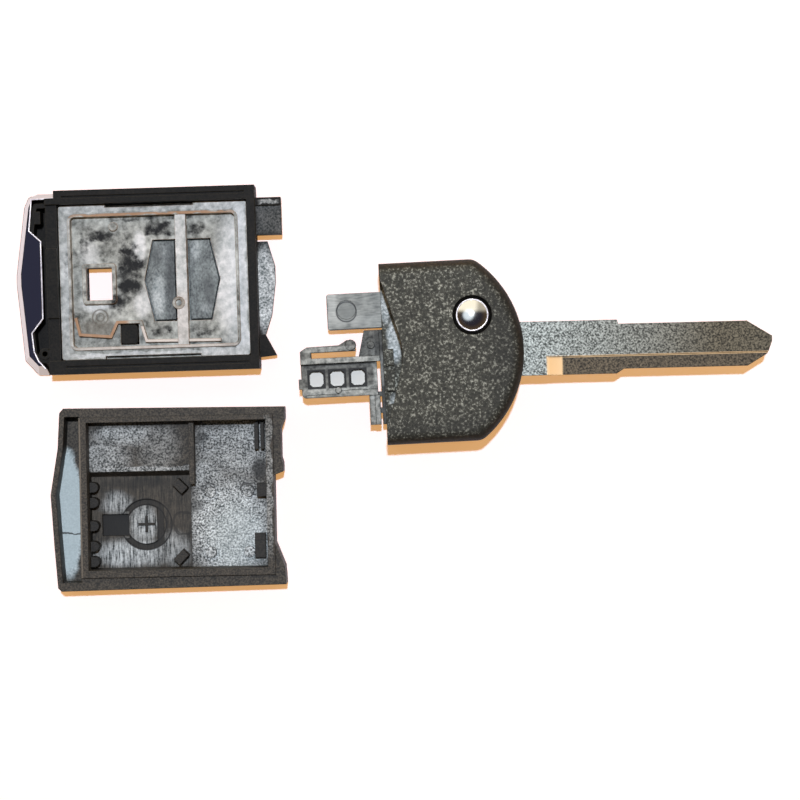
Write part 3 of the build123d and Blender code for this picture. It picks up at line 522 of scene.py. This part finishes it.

# clear polycarbonate of the keypad carrier: milky, with flow lines, painted highlights on its floor, rims
# and ledges, tan lines and edges painted as reflections of the warm table, and darker patches where it
# lies close on the black case
clearCarrier = {
    "low": "#42443f",
    "high": "#d3d6d0",
    "contrast": (0.34, 0.66),
    "detail": 4.0,
    "sheenLow": "#b3bab9",
    "sheenHigh": "#ffffff",
    # painted highlights on the floor, the rims and the ledges
    "sheen": [
        ("oval", (13.6, 0.0), (2.9, 10.4), 0.35, 0.95, 3.3, 3.5),
        ("oval", (-11.4, 4.6), (1.6, 2.4), 0.5, 0.55, 3.3, 3.5),
        ("oval", (-2.6, 5.9), (1.2, 2.6), 0.45, 1.0, 3.3, 3.5),
        ("oval", (-2.1, -4.0), (1.4, 2.2), 0.5, 0.9, 3.3, 3.5),
        ("oval", (-10.4, -3.9), (2.6, 1.2), 0.5, 1.0, 3.3, 3.5),
        ("box", (4.9, -0.9), (1.1, 1.7), 0.1, 1.0, 4.7, 5.0),
        ("box", (4.9, 0.0), (1.1, 13.0), 0.1, 0.9, 4.7, 5.0),
        ("box", (0.0, -12.9), (14.6, 0.35), 0.3, 0.7, 4.4, 4.7),
        ("box", (-11.6, 12.9), (4.2, 0.7), 0.15, 0.5, 4.4, 4.7),
        ("box", (11.8, 13.0), (4.2, 0.8), 0.15, 0.6, 4.4, 4.7),
        ("box", (12.2, -13.0), (4.2, 0.8), 0.15, 0.6, 4.4, 4.7),
        ("box", (15.3, 0.0), (1.1, 13.0), 0.2, 0.95, 4.4, 4.7),
        ("box", (-15.6, 0.0), (0.9, 12.0), 0.4, 0.5, 4.4, 5.3),
        ("box", (0.0, 12.6), (15.0, 0.4), 0.4, 0.4, 4.4, 4.7),
    ],
    "layers": [
        {"to": "#060505", "loose": True, "mottleMm": 1.5, "zones": [
            ("oval", (-4.6, 2.0), (2.0, 6.6), 0.6, 0.72, 3.0, 4.7),
            ("oval", (-3.6, 2.6), (1.9, 1.6), 0.8, 0.95, 3.0, 4.7),
            ("oval", (-4.4, -0.8), (2.2, 1.5), 0.8, 0.95, 3.0, 4.7),
            ("oval", (-6.6, -3.9), (2.0, 1.6), 0.6, 0.72, 3.0, 4.7),
            ("oval", (-12.3, 6.0), (0.8, 3.2), 0.5, 0.6, 3.0, 4.7),
            ("oval", (-9.6, 8.0), (3.2, 1.0), 0.5, 0.7, 3.0, 4.7),
            ("oval", (-11.6, -1.9), (1.0, 1.6), 0.5, 0.45, 3.0, 4.7),
            ("oval", (-9.0, 5.0), (1.6, 1.0), 0.5, 0.4, 3.0, 4.7),
            ("oval", (-14.0, 4.4), (0.8, 1.6), 0.5, 0.45, 3.0, 4.7),
            ("box", (0.9, 9.1), (2.3, 1.3), 0.3, 0.75, 3.0, 4.7),
            ("oval", (7.4, 8.9), (2.2, 1.2), 0.4, 0.6, 3.0, 4.7),
            ("oval", (0.6, -9.0), (2.6, 1.1), 0.4, 0.6, 3.0, 4.7),
            ("oval", (7.8, -9.2), (2.6, 1.1), 0.4, 0.6, 3.0, 4.7),
            ("oval", (-15.4, 3.0), (0.5, 2.4), 0.5, 0.5, 3.0, 5.5),
            ("box", (0.4, 11.1), (9.0, 0.5), 0.5, 0.5, 3.0, 3.6),
        ]},
        {"to": "#6a6358", "zones": [
            ("ring", (-9.8, -6.2), (1.35, 0.14), 0.5, 0.7, 3.3, 3.5),
            ("ring", (-9.8, -6.2), (0.7, 0.12), 0.5, 0.6, 3.3, 3.5),
            ("box", (-9.6, -8.2), (3.6, 1.3), 0.5, 0.55, 3.3, 3.5),
        ]},
        # tan lines painted as reflections of the warm table
        {"to": "#b48a68", "loose": True, "zones": [
            ("box", (0.0, 11.75), (14.6, 0.3), 0.3, 0.85, 5.1, 5.3),
            ("box", (-9.8, -8.6), (5.0, 2.7), 0.1, 0.85, 4.5, 4.7),
            ("box", (4.9, -6.9), (1.1, 4.6), 0.3, 0.15, 4.7, 5.3),
        ]},
        # pale lines painted as highlights
        {"to": "#e9e0d8", "zones": [
            ("box", (3.6, -9.6), (7.9, 1.6), 0.1, 0.85, 4.5, 4.7),
            ("box", (0.0, -11.75), (14.6, 0.3), 0.3, 0.6, 5.1, 5.3),
        ]},
    ],
    "raggedMm": 2.4,
    "grainMm": (1.0, 1.1, 1.2),
    "patchMm": 4.2,
    "patchShare": 0.4,
    "depthMm": 0.05,
    "edgeMm": 0.2,
    "edgeHighlightShade": "#a98a70",
    "edgeShare": 0.75,
    "roughness": 0.62,
    "ior": 1.58,
    "specular": 0.15,
    "transmission": 0.05,
}

# grey ABS of the keys, seen from behind through the openings of the carrier, with painted highlights,
# painted shade towards their edges, and edges painted dark as shade
keyAbs = {
    "low": "#1e2223",
    "high": "#8d9695",
    "contrast": (0.32, 0.68),
    "sheenLow": "#7c8a8d",
    "sheenHigh": "#f0f6f7",
    # painted highlights
    "sheen": [
        ("oval", (0.6, -2.4), (1.2, 3.4), 0.5, 0.6),
        ("oval", (1.8, 4.8), (1.0, 1.4), 0.5, 0.25),
        ("oval", (7.4, 5.2), (0.8, 1.6), 0.5, 0.4),
        ("oval", (9.0, -5.0), (1.0, 1.0), 0.5, 0.3),
    ],
    "layers": [
        # painted shade towards the edges of the keys
        {"to": "#161719", "loose": True, "zones": [
            ("oval", (2.9, 0.6), (1.0, 6.5), 0.9, 0.7),
            ("oval", (0.4, 4.4), (1.3, 1.5), 0.8, 0.6),
            ("oval", (9.6, -2.0), (1.0, 3.0), 0.5, 0.5),
        ]},
    ],
    "raggedMm": 1.0,
    "grainMm": (0.36, 0.5, 0.6),
    "patchMm": 2.2,
    "patchShare": 0.4,
    "depthMm": 0.03,
    "edgeMm": 0.25,
    "edgeHighlightShade": "#101113",
    "edgeShare": 0.8,
    "roughness": 0.5,
    "ior": 1.5,
    "specular": 0.3,
}

# chrome plate on moulded ABS: a clear mirror with the faint ripple of the plastic under it, and a painted
# dark reflection on the flat face of the trim
chromePlate = {
    "button": {"colour": "#c8c6be", "roughness": 0.14, "flatDarkReflectionShare": 0.0},
    "trim": {"colour": "#a8a190", "roughness": 0.08, "flatDarkReflectionShare": 1.0},
    "flatDarkReflection": "#282630",
    "flatFacing": (0.95, 0.995),
    "rippleMm": 2.5,
    "rippleDetail": 1.0,
    "rippleDepthMm": 0.004,
    "rippleBump": 0.6,
    "edgeMm": 0.2,
}


def makeChromePlate(name, plate):
    material, tree = newMaterial(name)
    ripple = noise(tree, unitCoords(tree, "head"), chromePlate["rippleMm"], chromePlate["rippleDetail"])
    rounded = softEdge(tree, chromePlate["edgeMm"])
    normal = bump(tree, ripple, chromePlate["rippleBump"], chromePlate["rippleDepthMm"], rounded)
    # painted dark reflection on the flat faces, where the plate asks for it
    flat = sums(tree, "MULTIPLY", facingUp(tree, *chromePlate["flatFacing"]), plate["flatDarkReflectionShare"])
    principled(tree, {"Metallic": 1.0, "Roughness": plate["roughness"]}, {
        "Base Color": mixed(tree, flat, plate["colour"], chromePlate["flatDarkReflection"]), "Normal": normal})
    return material


# nickel-plated steel of the blade: a tumbled blank, dull between fine glittering specks, with a painted
# reflection that turns browner towards the tip, and a milled groove whose run-out and upper edge have the
# warm light painted on
bladeSteel = {
    "nearLow": "#2e312e",
    "nearHigh": "#a5a9a3",
    "farLow": "#1f1b13",
    "farHigh": "#625a4a",
    "contrast": (0.38, 0.66),
    "groove": [(0.36, "#1a1610"), (0.68, "#5c5141")],
    "grooveMm": (8.5, 9.45),
    "warm": "#ffd49a",
    "reflectionFadeMm": (10.0, 42.0),
    "raggedMm": (4.0, 2.0),
    "speckMm": 0.34,
    "speckNoise": (2.0, 0.7),
    "depthMm": 0.04,
    "speckBump": 0.6,
    "edgeMm": 0.12,
    "roughness": 0.55,
    "metallic": 0.75,
    "warmZones": [
        ("box", (14.3, -9.1), (1.3, 1.6), 0.2, 1.0, 8.9, 9.62),
        ("box", (35.0, -7.5), (18.5, 0.17), 0.1, 0.4),
    ],
}


def makeBladeSteel():
    material, tree = newMaterial("nickelPlatedSteel")
    coords = unitCoords(tree, "blade")
    loose = ragged(tree, coords, *bladeSteel["raggedMm"])
    along = addNode(tree, "ShaderNodeSeparateXYZ", None, {"Vector": loose}).outputs["X"]
    # painted reflection: bright near the head, fading to browner towards the tip
    reflectionFade = mapped(tree, along, bladeSteel["reflectionFadeMm"], (0, 1), False)
    fine = noise(tree, coords, bladeSteel["speckMm"], *bladeSteel["speckNoise"])
    near = twoTone(tree, fine, bladeSteel, "nearLow", "nearHigh")
    far = twoTone(tree, fine, bladeSteel, "farLow", "farHigh")
    milled = ramp(tree, fine, bladeSteel["groove"])
    inGroove = heights(tree, coords, *bladeSteel["grooveMm"])
    colour = mixed(tree, inGroove, mixed(tree, reflectionFade, near, far), milled)
    # painted warm reflection on the groove's run-out and upper edge
    warm = zoneMask(tree, coords, bladeSteel["warmZones"])
    colour = mixed(tree, warm, colour, bladeSteel["warm"])
    metal = mapped(tree, warm, (0, 1), (bladeSteel["metallic"], 0.0), False)
    rounded = softEdge(tree, bladeSteel["edgeMm"])
    normal = bump(tree, fine, bladeSteel["speckBump"], bladeSteel["depthMm"], rounded)
    principled(tree, {"Roughness": bladeSteel["roughness"]}, {
        "Base Color": colour, "Metallic": metal, "Normal": normal})
    return material


# black-coated die-cast zinc of the hub: satin, the ring round the button
hubZinc = {
    "low": "#030302",
    "high": "#0d0b08",
    "contrast": (0.4, 0.65),
    "roughness": 0.75,
    "specular": 0.05,
    "grainMm": 0.3,
    "depthMm": 0.02,
    "grainBump": 0.3,
    "edgeMm": 0.12,
}


def makeHubZinc():
    material, tree = newMaterial("blackCoatedZinc")
    grain = noise(tree, unitCoords(tree, "head"), hubZinc["grainMm"])
    colour = twoTone(tree, grain, hubZinc)
    normal = bump(tree, grain, hubZinc["grainBump"], hubZinc["depthMm"], softEdge(tree, hubZinc["edgeMm"]))
    principled(tree, {"Roughness": hubZinc["roughness"], "Specular IOR Level": hubZinc["specular"]}, {
        "Base Color": colour, "Normal": normal})
    return material


# drawn spring steel of the pin, the retainer and the spring: bright, with a faint mottle
springSteel = {"low": "#7c7c7b", "high": "#b9babb", "contrast": (0.35, 0.65), "markMm": 0.3, "roughness": 0.3}


def makeSpringSteel():
    material, tree = newMaterial("drawnSpringSteel")
    mark = noise(tree, unitCoords(tree, "head"), springSteel["markMm"])
    principled(tree, {"Metallic": 1.0, "Roughness": springSteel["roughness"]}, {
        "Base Color": twoTone(tree, mark, springSteel)})
    return material


chromeButton = makeChromePlate("chromeButton", chromePlate["button"])
finishes = [
    (makePlastic("texturedAbs", "head", headAbs), ["head_front_shell", "head_back_shell"]),
    (makePlastic("erodedAbs", "batteryHalf", erodedAbs), ["back_shell"]),
    (makePlastic("polishedAbs", "buttonHalf", polishedAbs), ["front_shell"]),
    (makePlastic("couplingFrameAbs", "head", couplingFrameAbs), ["coupling_frame"]),
    (makePlastic("glassFilledNylon", "head", trayNylon), ["transponder_tray", "pivot_plug"]),
    (makeChromePlate("chromeTrim", chromePlate["trim"]), ["end_trim"]),
    (chromeButton, ["release_button"]),
    (makePlastic("clearPolycarbonate", "buttonHalf", clearCarrier), ["keypad_carrier"]),
    (makePlastic("greyAbs", "buttonHalf", keyAbs), ["lock_key", "unlock_key"]),
    (makeBladeSteel(), ["key_blade"]),
    (makeHubZinc(), ["pivot_hub"]),
    (makeSpringSteel(), ["blade_roll_pin", "button_retainer", "flip_spring"]),
]
shading = {"weldMm": 0.002, "splitAngle": 34}


def shadeRound(made):
    # joins the loose triangles and keeps real edges sharp
    made.data.shade_smooth()
    made.modifiers.new("weld", "WELD").merge_threshold = shading["weldMm"] * mm
    made.modifiers.new("split", "EDGE_SPLIT").split_angle = math.radians(shading["splitAngle"])
    made.modifiers.new("weighted", "WEIGHTED_NORMAL")


for material, names in finishes:
    for name in names:
        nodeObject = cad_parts[name]
        nodeObject.data.materials.clear()
        nodeObject.data.materials.append(material)
        shadeRound(nodeObject)
print("finishes on", sum(len(names) for _, names in finishes), "nodes")


def placeOnUnit(form, unitName, placeMm):
    # from millimetres on a unit to metres in the frame
    unit = units[unitName]
    turn = Matrix.Rotation(math.radians(unit["turn"]), 4, "Z")
    place = Matrix.Translation((*unit["placeMm"], 0)) @ turn @ Matrix.Translation((*placeMm, 0))
    bmesh.ops.transform(form, matrix=Matrix.Scale(mm, 4) @ place, verts=form.verts)


def addPiece(name, form, material):
    # a finished form into the scene, at the origin
    mesh = bpy.data.meshes.new(name)
    form.to_mesh(mesh)
    form.free()
    mesh.materials.append(material)
    made = bpy.data.objects.new(name, mesh)
    bpy.context.scene.collection.objects.link(made)
    return made


# raised plus on the floor of the battery seat, its foot sunk into the floor
plusMark = {
    "placeMm": (-4.4, -4.75),
    "armMm": 1.45,
    "barMm": 0.5,
    "heightMm": 0.18,
    "floorMm": 1.6,
    "sinkMm": 0.05,
    "roundMm": 0.08,
}


def makePlusMark():
    form = bmesh.new()
    half = plusMark["barMm"] / 2
    arm = plusMark["armMm"]
    corners = [(half, half), (half, arm), (-half, arm), (-half, half), (-arm, half), (-arm, -half),
               (-half, -half), (-half, -arm), (half, -arm), (half, -half), (arm, -half), (arm, half)]
    ring = [form.verts.new((x, y, plusMark["floorMm"] - plusMark["sinkMm"])) for x, y in corners]
    face = form.faces.new(ring)
    raised = bmesh.ops.extrude_face_region(form, geom=[face])
    top = [part for part in raised["geom"] if isinstance(part, bmesh.types.BMVert)]
    bmesh.ops.translate(form, vec=(0, 0, plusMark["heightMm"] + plusMark["sinkMm"]), verts=top)
    topEdges = {edge for vert in top for edge in vert.link_edges if edge.other_vert(vert) in top}
    bmesh.ops.bevel(form, geom=list(topEdges), offset=plusMark["roundMm"], offset_type="OFFSET", segments=2,
                    profile=0.5, affect="EDGES", material=-1)
    bmesh.ops.recalc_face_normals(form, faces=form.faces)
    placeOnUnit(form, "batteryHalf", plusMark["placeMm"])
    made = addPiece("polarityMark", form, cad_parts["back_shell"].data.materials[0])
    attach(made, "shells")


makePlusMark()

# pale material that paints the bright highlight along a narrow chrome edge
brightEdge = {
    "low": "#b9b4bd",
    "high": "#f3f0f4",
    "contrast": (0.35, 0.6),
    "roughness": 0.3,
    "metallic": 0.25,
    "unevennessMm": 1.2,
}


def makeBrightEdge():
    material, tree = newMaterial("paintedHighlightEdge")
    unevenness = noise(tree, unitCoords(tree, "head"), brightEdge["unevennessMm"])
    principled(tree, {"Roughness": brightEdge["roughness"], "Metallic": brightEdge["metallic"]}, {
        "Base Color": twoTone(tree, unevenness, brightEdge)})
    return material


edgeMaterial = makeBrightEdge()

# pressed cap of the release button, a little flatter than the dome below it, with its rolled rim
buttonCap = {
    "radiusMm": 2.7,
    "riseMm": 0.75,
    "skirtMm": 0.4,
    "rings": 12,
    "rimMm": 0.12,
    "rimSides": 10,
    "turnSteps": 64,
    "mergeMm": 0.001,
}


def spunPiece(name, form, outline, material):
    bmesh.ops.spin(form, geom=outline, cent=(0, 0, 0), axis=(0, 0, 1), angle=2 * math.pi,
                   steps=buttonCap["turnSteps"], use_merge=True)
    bmesh.ops.remove_doubles(form, verts=form.verts, dist=buttonCap["mergeMm"])
    bmesh.ops.recalc_face_normals(form, faces=form.faces)
    placeOnUnit(form, "head", (0, 0))
    made = addPiece(name, form, material)
    made.data.shade_smooth()
    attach(made, "release_unit")


def makeButtonCap():
    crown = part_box("release_button")[1][2] / mm
    reach = buttonCap["radiusMm"]
    rise = buttonCap["riseMm"]
    ball = (reach ** 2 + rise ** 2) / (2 * rise)
    edgeLevel = crown - rise
    form = bmesh.new()
    line = [form.verts.new((0, 0, edgeLevel - buttonCap["skirtMm"])),
            form.verts.new((reach, 0, edgeLevel - buttonCap["skirtMm"]))]
    for step in range(buttonCap["rings"] + 1):
        across = reach * (1 - step / buttonCap["rings"])
        line.append(form.verts.new((across, 0, crown - ball + math.sqrt(ball ** 2 - across ** 2))))
    edges = [form.edges.new(pair) for pair in zip(line, line[1:])]
    spunPiece("buttonCap", form, line + edges, chromeButton)
    # the rolled rim, in the pale material: a painted highlight along the cap's edge
    rim = bmesh.new()
    ring = bmesh.ops.create_circle(rim, segments=buttonCap["rimSides"], radius=buttonCap["rimMm"])["verts"]
    stand = Matrix.Translation((reach, 0, edgeLevel)) @ Matrix.Rotation(math.pi / 2, 4, "X")
    bmesh.ops.transform(rim, matrix=stand, verts=ring)
    spunPiece("buttonRim", rim, ring + rim.edges[:], edgeMaterial)


makeButtonCap()

# round-wire spring in the foot of the hub: it turns the blade out; the real one shortens under the pressed
# button, this coil keeps its length
coilSpring = {
    "wireMm": 0.44,
    "radiusMm": 2.6,
    "turns": 3.5,
    "stepsPerTurn": 32,
    "sides": 12,
    "pressMm": 1.6,
}


def makeCoilSpring():
    low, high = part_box("flip_spring")
    wire = coilSpring["wireMm"]
    turns = coilSpring["turns"]
    steps = round(turns * coilSpring["stepsPerTurn"])
    rise = (high.z - low.z) / mm - wire
    form = bmesh.new()
    end = bmesh.ops.create_circle(form, cap_ends=True, segments=coilSpring["sides"], radius=wire / 2)["verts"]
    foot = Matrix.Translation((coilSpring["radiusMm"], 0, low.z / mm + wire / 2))
    bmesh.ops.transform(form, matrix=foot @ Matrix.Rotation(math.pi / 2, 4, "X"), verts=end)
    bmesh.ops.spin(form, geom=form.verts[:] + form.edges[:] + form.faces[:], cent=(0, 0, 0), axis=(0, 0, 1),
                   dvec=(0, 0, rise / steps), angle=2 * math.pi * turns, steps=steps)
    bmesh.ops.holes_fill(form, edges=[edge for edge in form.edges if edge.is_boundary])
    bmesh.ops.recalc_face_normals(form, faces=form.faces)
    placeOnUnit(form, "head", (0, 0))
    made = addPiece("coilSpring", form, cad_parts["flip_spring"].data.materials[0])
    made.data.shade_smooth()
    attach(made, "blade_unit")
    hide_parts("flip_spring")
    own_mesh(made)


makeCoilSpring()

# bead along the inner edge of the chrome trim, a curve through its corners, in the pale material: a
# painted highlight line along that edge
trimBead = {
    "radiusMm": 0.15,
    "roundSteps": 3,
    "levelMm": 6.42,
    "cornersMm": [(-17.0, 14.8), (-20.9, 14.7), (-21.5, 9.2), (-19.5, 7.3), (-19.5, -6.2), (-21.5, -8.7),
                  (-21.2, -12.0), (-20.5, -13.6), (-19.3, -15.0)],
}


def makeTrimBead():
    unit = units["buttonHalf"]
    place = Matrix.Translation((*unit["placeMm"], 0)) @ Matrix.Rotation(math.radians(unit["turn"]), 4, "Z")
    curve = bpy.data.curves.new("trimBead", "CURVE")
    curve.dimensions = "3D"
    curve.bevel_depth = trimBead["radiusMm"] * mm
    curve.bevel_resolution = trimBead["roundSteps"]
    curve.use_fill_caps = True
    line = curve.splines.new("POLY")
    line.points.add(len(trimBead["cornersMm"]) - 1)
    for point, (x, y) in zip(line.points, trimBead["cornersMm"]):
        point.co = (*(place @ Vector((x, y, trimBead["levelMm"])) * mm), 1)
    curve.materials.append(edgeMaterial)
    made = bpy.data.objects.new("trimBead", curve)
    bpy.context.scene.collection.objects.link(made)
    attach(made, "shells")


makeTrimBead()
print("plus mark, button cap and rim, spring and trim bead made")

# pale table a hair below the object, lit so that it reads white, with a warm glow of its own that paints
# the colour of its shadow
table = {
    "sizeMm": 3000,
    "dropMm": 0.02,
    "colour": "#e4ecff",
    "shadowTint": "#c79257",
    "farTint": "#ffffff",
    "tintToMm": (110, 320),
    "inMetal": 0.6,         # share of the glow that metal mirrors
}


def makeTable():
    form = bmesh.new()
    bmesh.ops.create_grid(form, x_segments=1, y_segments=1, size=table["sizeMm"] * mm / 2)
    material, tree = newMaterial("tableTop")
    made = addPiece("table", form, material)
    made.location.z = -table["dropMm"] * mm
    rays = addNode(tree, "ShaderNodeLightPath").outputs
    mirrored = sums(tree, "MULTIPLY", rays["Is Glossy Ray"], table["inMetal"])
    seen = sums(tree, "ADD", rays["Is Camera Ray"], mirrored)
    paper = addNode(tree, "ShaderNodeBsdfDiffuse", {"Color": linear(table["colour"])})
    # far from the object the paper is lit less, and shows plain white instead of the tint
    place = addNode(tree, "ShaderNodeTexCoord").outputs["Object"]
    away = addNode(tree, "ShaderNodeVectorMath", {"operation": "LENGTH"}, {0: place}).outputs["Value"]
    near, far = (reach * mm for reach in table["tintToMm"])
    glow = mixed(tree, mapped(tree, away, (near, far), (0, 1)), table["shadowTint"], table["farTint"])
    tint = addNode(tree, "ShaderNodeEmission", None, {"Color": glow, "Strength": seen})
    both = addNode(tree, "ShaderNodeAddShader", None, {0: paper.outputs[0], 1: tint.outputs[0]})
    finishMaterial(tree, both)


makeTable()

# small lamp high above the camera, a little towards the top of the picture
lamp = {
    "placeMm": (10, 172, 1110),
    "aimMm": (0, 0, 5),
    "sizeMm": 34,
    "colour": (0.72, 0.765, 0.85),
    "level": 1.0,       # at 1 a white matte face shows the lamp's colour as it is written
}


def makeLamp():
    light = bpy.data.lights.new("lamp", "AREA")
    light.shape = "DISK"
    light.size = lamp["sizeMm"] * mm
    place = Vector(lamp["placeMm"]) * mm
    aim = Vector(lamp["aimMm"]) * mm
    distance = (place - aim).length
    light.energy = lamp["level"] * math.pi * math.pi * distance ** 2
    light.color = lamp["colour"]
    made = bpy.data.objects.new("lamp", light)
    made.location = place
    made.rotation_euler = (aim - place).to_track_quat("-Z", "Y").to_euler()
    bpy.context.scene.collection.objects.link(made)


makeLamp()

# the warm room that fills the shadows, as matte surfaces feel it and as metal shows it: a pale sky beyond
# the top of the picture, the far table along the horizon, a small window, and the dark around the camera
room = {
    # linear colours from the horizon up
    "matte": [(0.0, (0.70, 0.50, 0.32)), (0.35, (0.72, 0.50, 0.28)), (0.8, (0.30, 0.20, 0.10)),
              (0.97, (0.03, 0.022, 0.03))],
    "metal": [(0.04, (0.92, 0.84, 0.74)), (0.16, (0.22, 0.15, 0.09)), (0.6, (0.10, 0.07, 0.045)),
              (0.82, (0.030, 0.028, 0.045))],
    "nearLevel": 0.35,              # the side below the picture is darker
    "nearToY": (-0.7, 0.15),
    "sky": (1.7, 1.6, 1.4),
    "skyFromY": (0.12, 0.42),
    "skyFadeX": (0.15, 0.5),
    "skyFadeLevel": 0.4,
    "window": (1.15, 1.3, 1.5),
    "windowTo": (-0.24, 0.02, 0.97),
    "windowEdge": (0.90, 0.975),
}


def makeRoom():
    world = bpy.data.worlds.new("room")
    world.use_nodes = True
    tree = world.node_tree
    tree.nodes.clear()
    towards = addNode(tree, "ShaderNodeTexCoord").outputs["Generated"]
    parts = addNode(tree, "ShaderNodeSeparateXYZ", None, {"Vector": towards}).outputs
    walls = ramp(tree, parts["Z"], room["matte"])
    darker = mapped(tree, parts["Y"], room["nearToY"], (room["nearLevel"], 1.0), False)
    matte = addNode(tree, "ShaderNodeBackground", None, {"Color": walls, "Strength": darker})
    shown = ramp(tree, parts["Z"], room["metal"])
    metal = addNode(tree, "ShaderNodeBackground", None, {"Color": shown})
    skyward = sums(tree, "MULTIPLY", mapped(tree, parts["Y"], room["skyFromY"], (0, 1)),
                   mapped(tree, parts["X"], room["skyFadeX"], (1, room["skyFadeLevel"])))
    sky = addNode(tree, "ShaderNodeBackground", {"Color": [*room["sky"], 1]}, {"Strength": skyward})
    middle = Vector(room["windowTo"]).normalized()
    nearness = addNode(tree, "ShaderNodeVectorMath", {"operation": "DOT_PRODUCT", 1: middle}, {0: towards})
    glow = mapped(tree, nearness.outputs["Value"], room["windowEdge"], (0, 1))
    window = addNode(tree, "ShaderNodeBackground", {"Color": [*room["window"], 1]}, {"Strength": glow})
    lit = addNode(tree, "ShaderNodeAddShader", None, {0: metal.outputs[0], 1: sky.outputs[0]})
    lit = addNode(tree, "ShaderNodeAddShader", None, {0: lit.outputs[0], 1: window.outputs[0]})
    rays = addNode(tree, "ShaderNodeLightPath").outputs
    both = addNode(tree, "ShaderNodeMixShader", None, {
        0: rays["Is Glossy Ray"], 1: matte.outputs[0], 2: lit.outputs[0]})
    # the white backdrop that a low camera sees behind the table
    white = addNode(tree, "ShaderNodeBackground", {"Color": [1, 1, 1, 1], "Strength": 1.0})
    whole = addNode(tree, "ShaderNodeMixShader", None, {
        0: rays["Is Camera Ray"], 1: both.outputs[0], 2: white.outputs[0]})
    addNode(tree, "ShaderNodeOutputWorld", None, {"Surface": whole.outputs[0]})
    bpy.context.scene.world = world


makeRoom()
print("table, lamp and room ready")

# camera straight above, where the photograph was taken from
camera = {
    "placeMm": (1.637, -2.10, 457),
    "frameWidthMm": 140,    # what the picture takes in, across
    "frameAtMm": 7,         # at this height above the table
    "sensorMm": 36,
    "clipMm": (10, 10000),
}


def makeCamera():
    data = bpy.data.cameras.new("camera")
    data.sensor_width = camera["sensorMm"]
    distance = camera["placeMm"][2] - camera["frameAtMm"]
    data.lens = camera["sensorMm"] * distance / camera["frameWidthMm"]
    data.clip_start, data.clip_end = (reach * mm for reach in camera["clipMm"])
    made = bpy.data.objects.new("camera", data)
    made.location = Vector(camera["placeMm"]) * mm
    bpy.context.scene.collection.objects.link(made)
    bpy.context.scene.camera = made


makeCamera()
bpy.context.scene.view_settings.view_transform = "Standard"
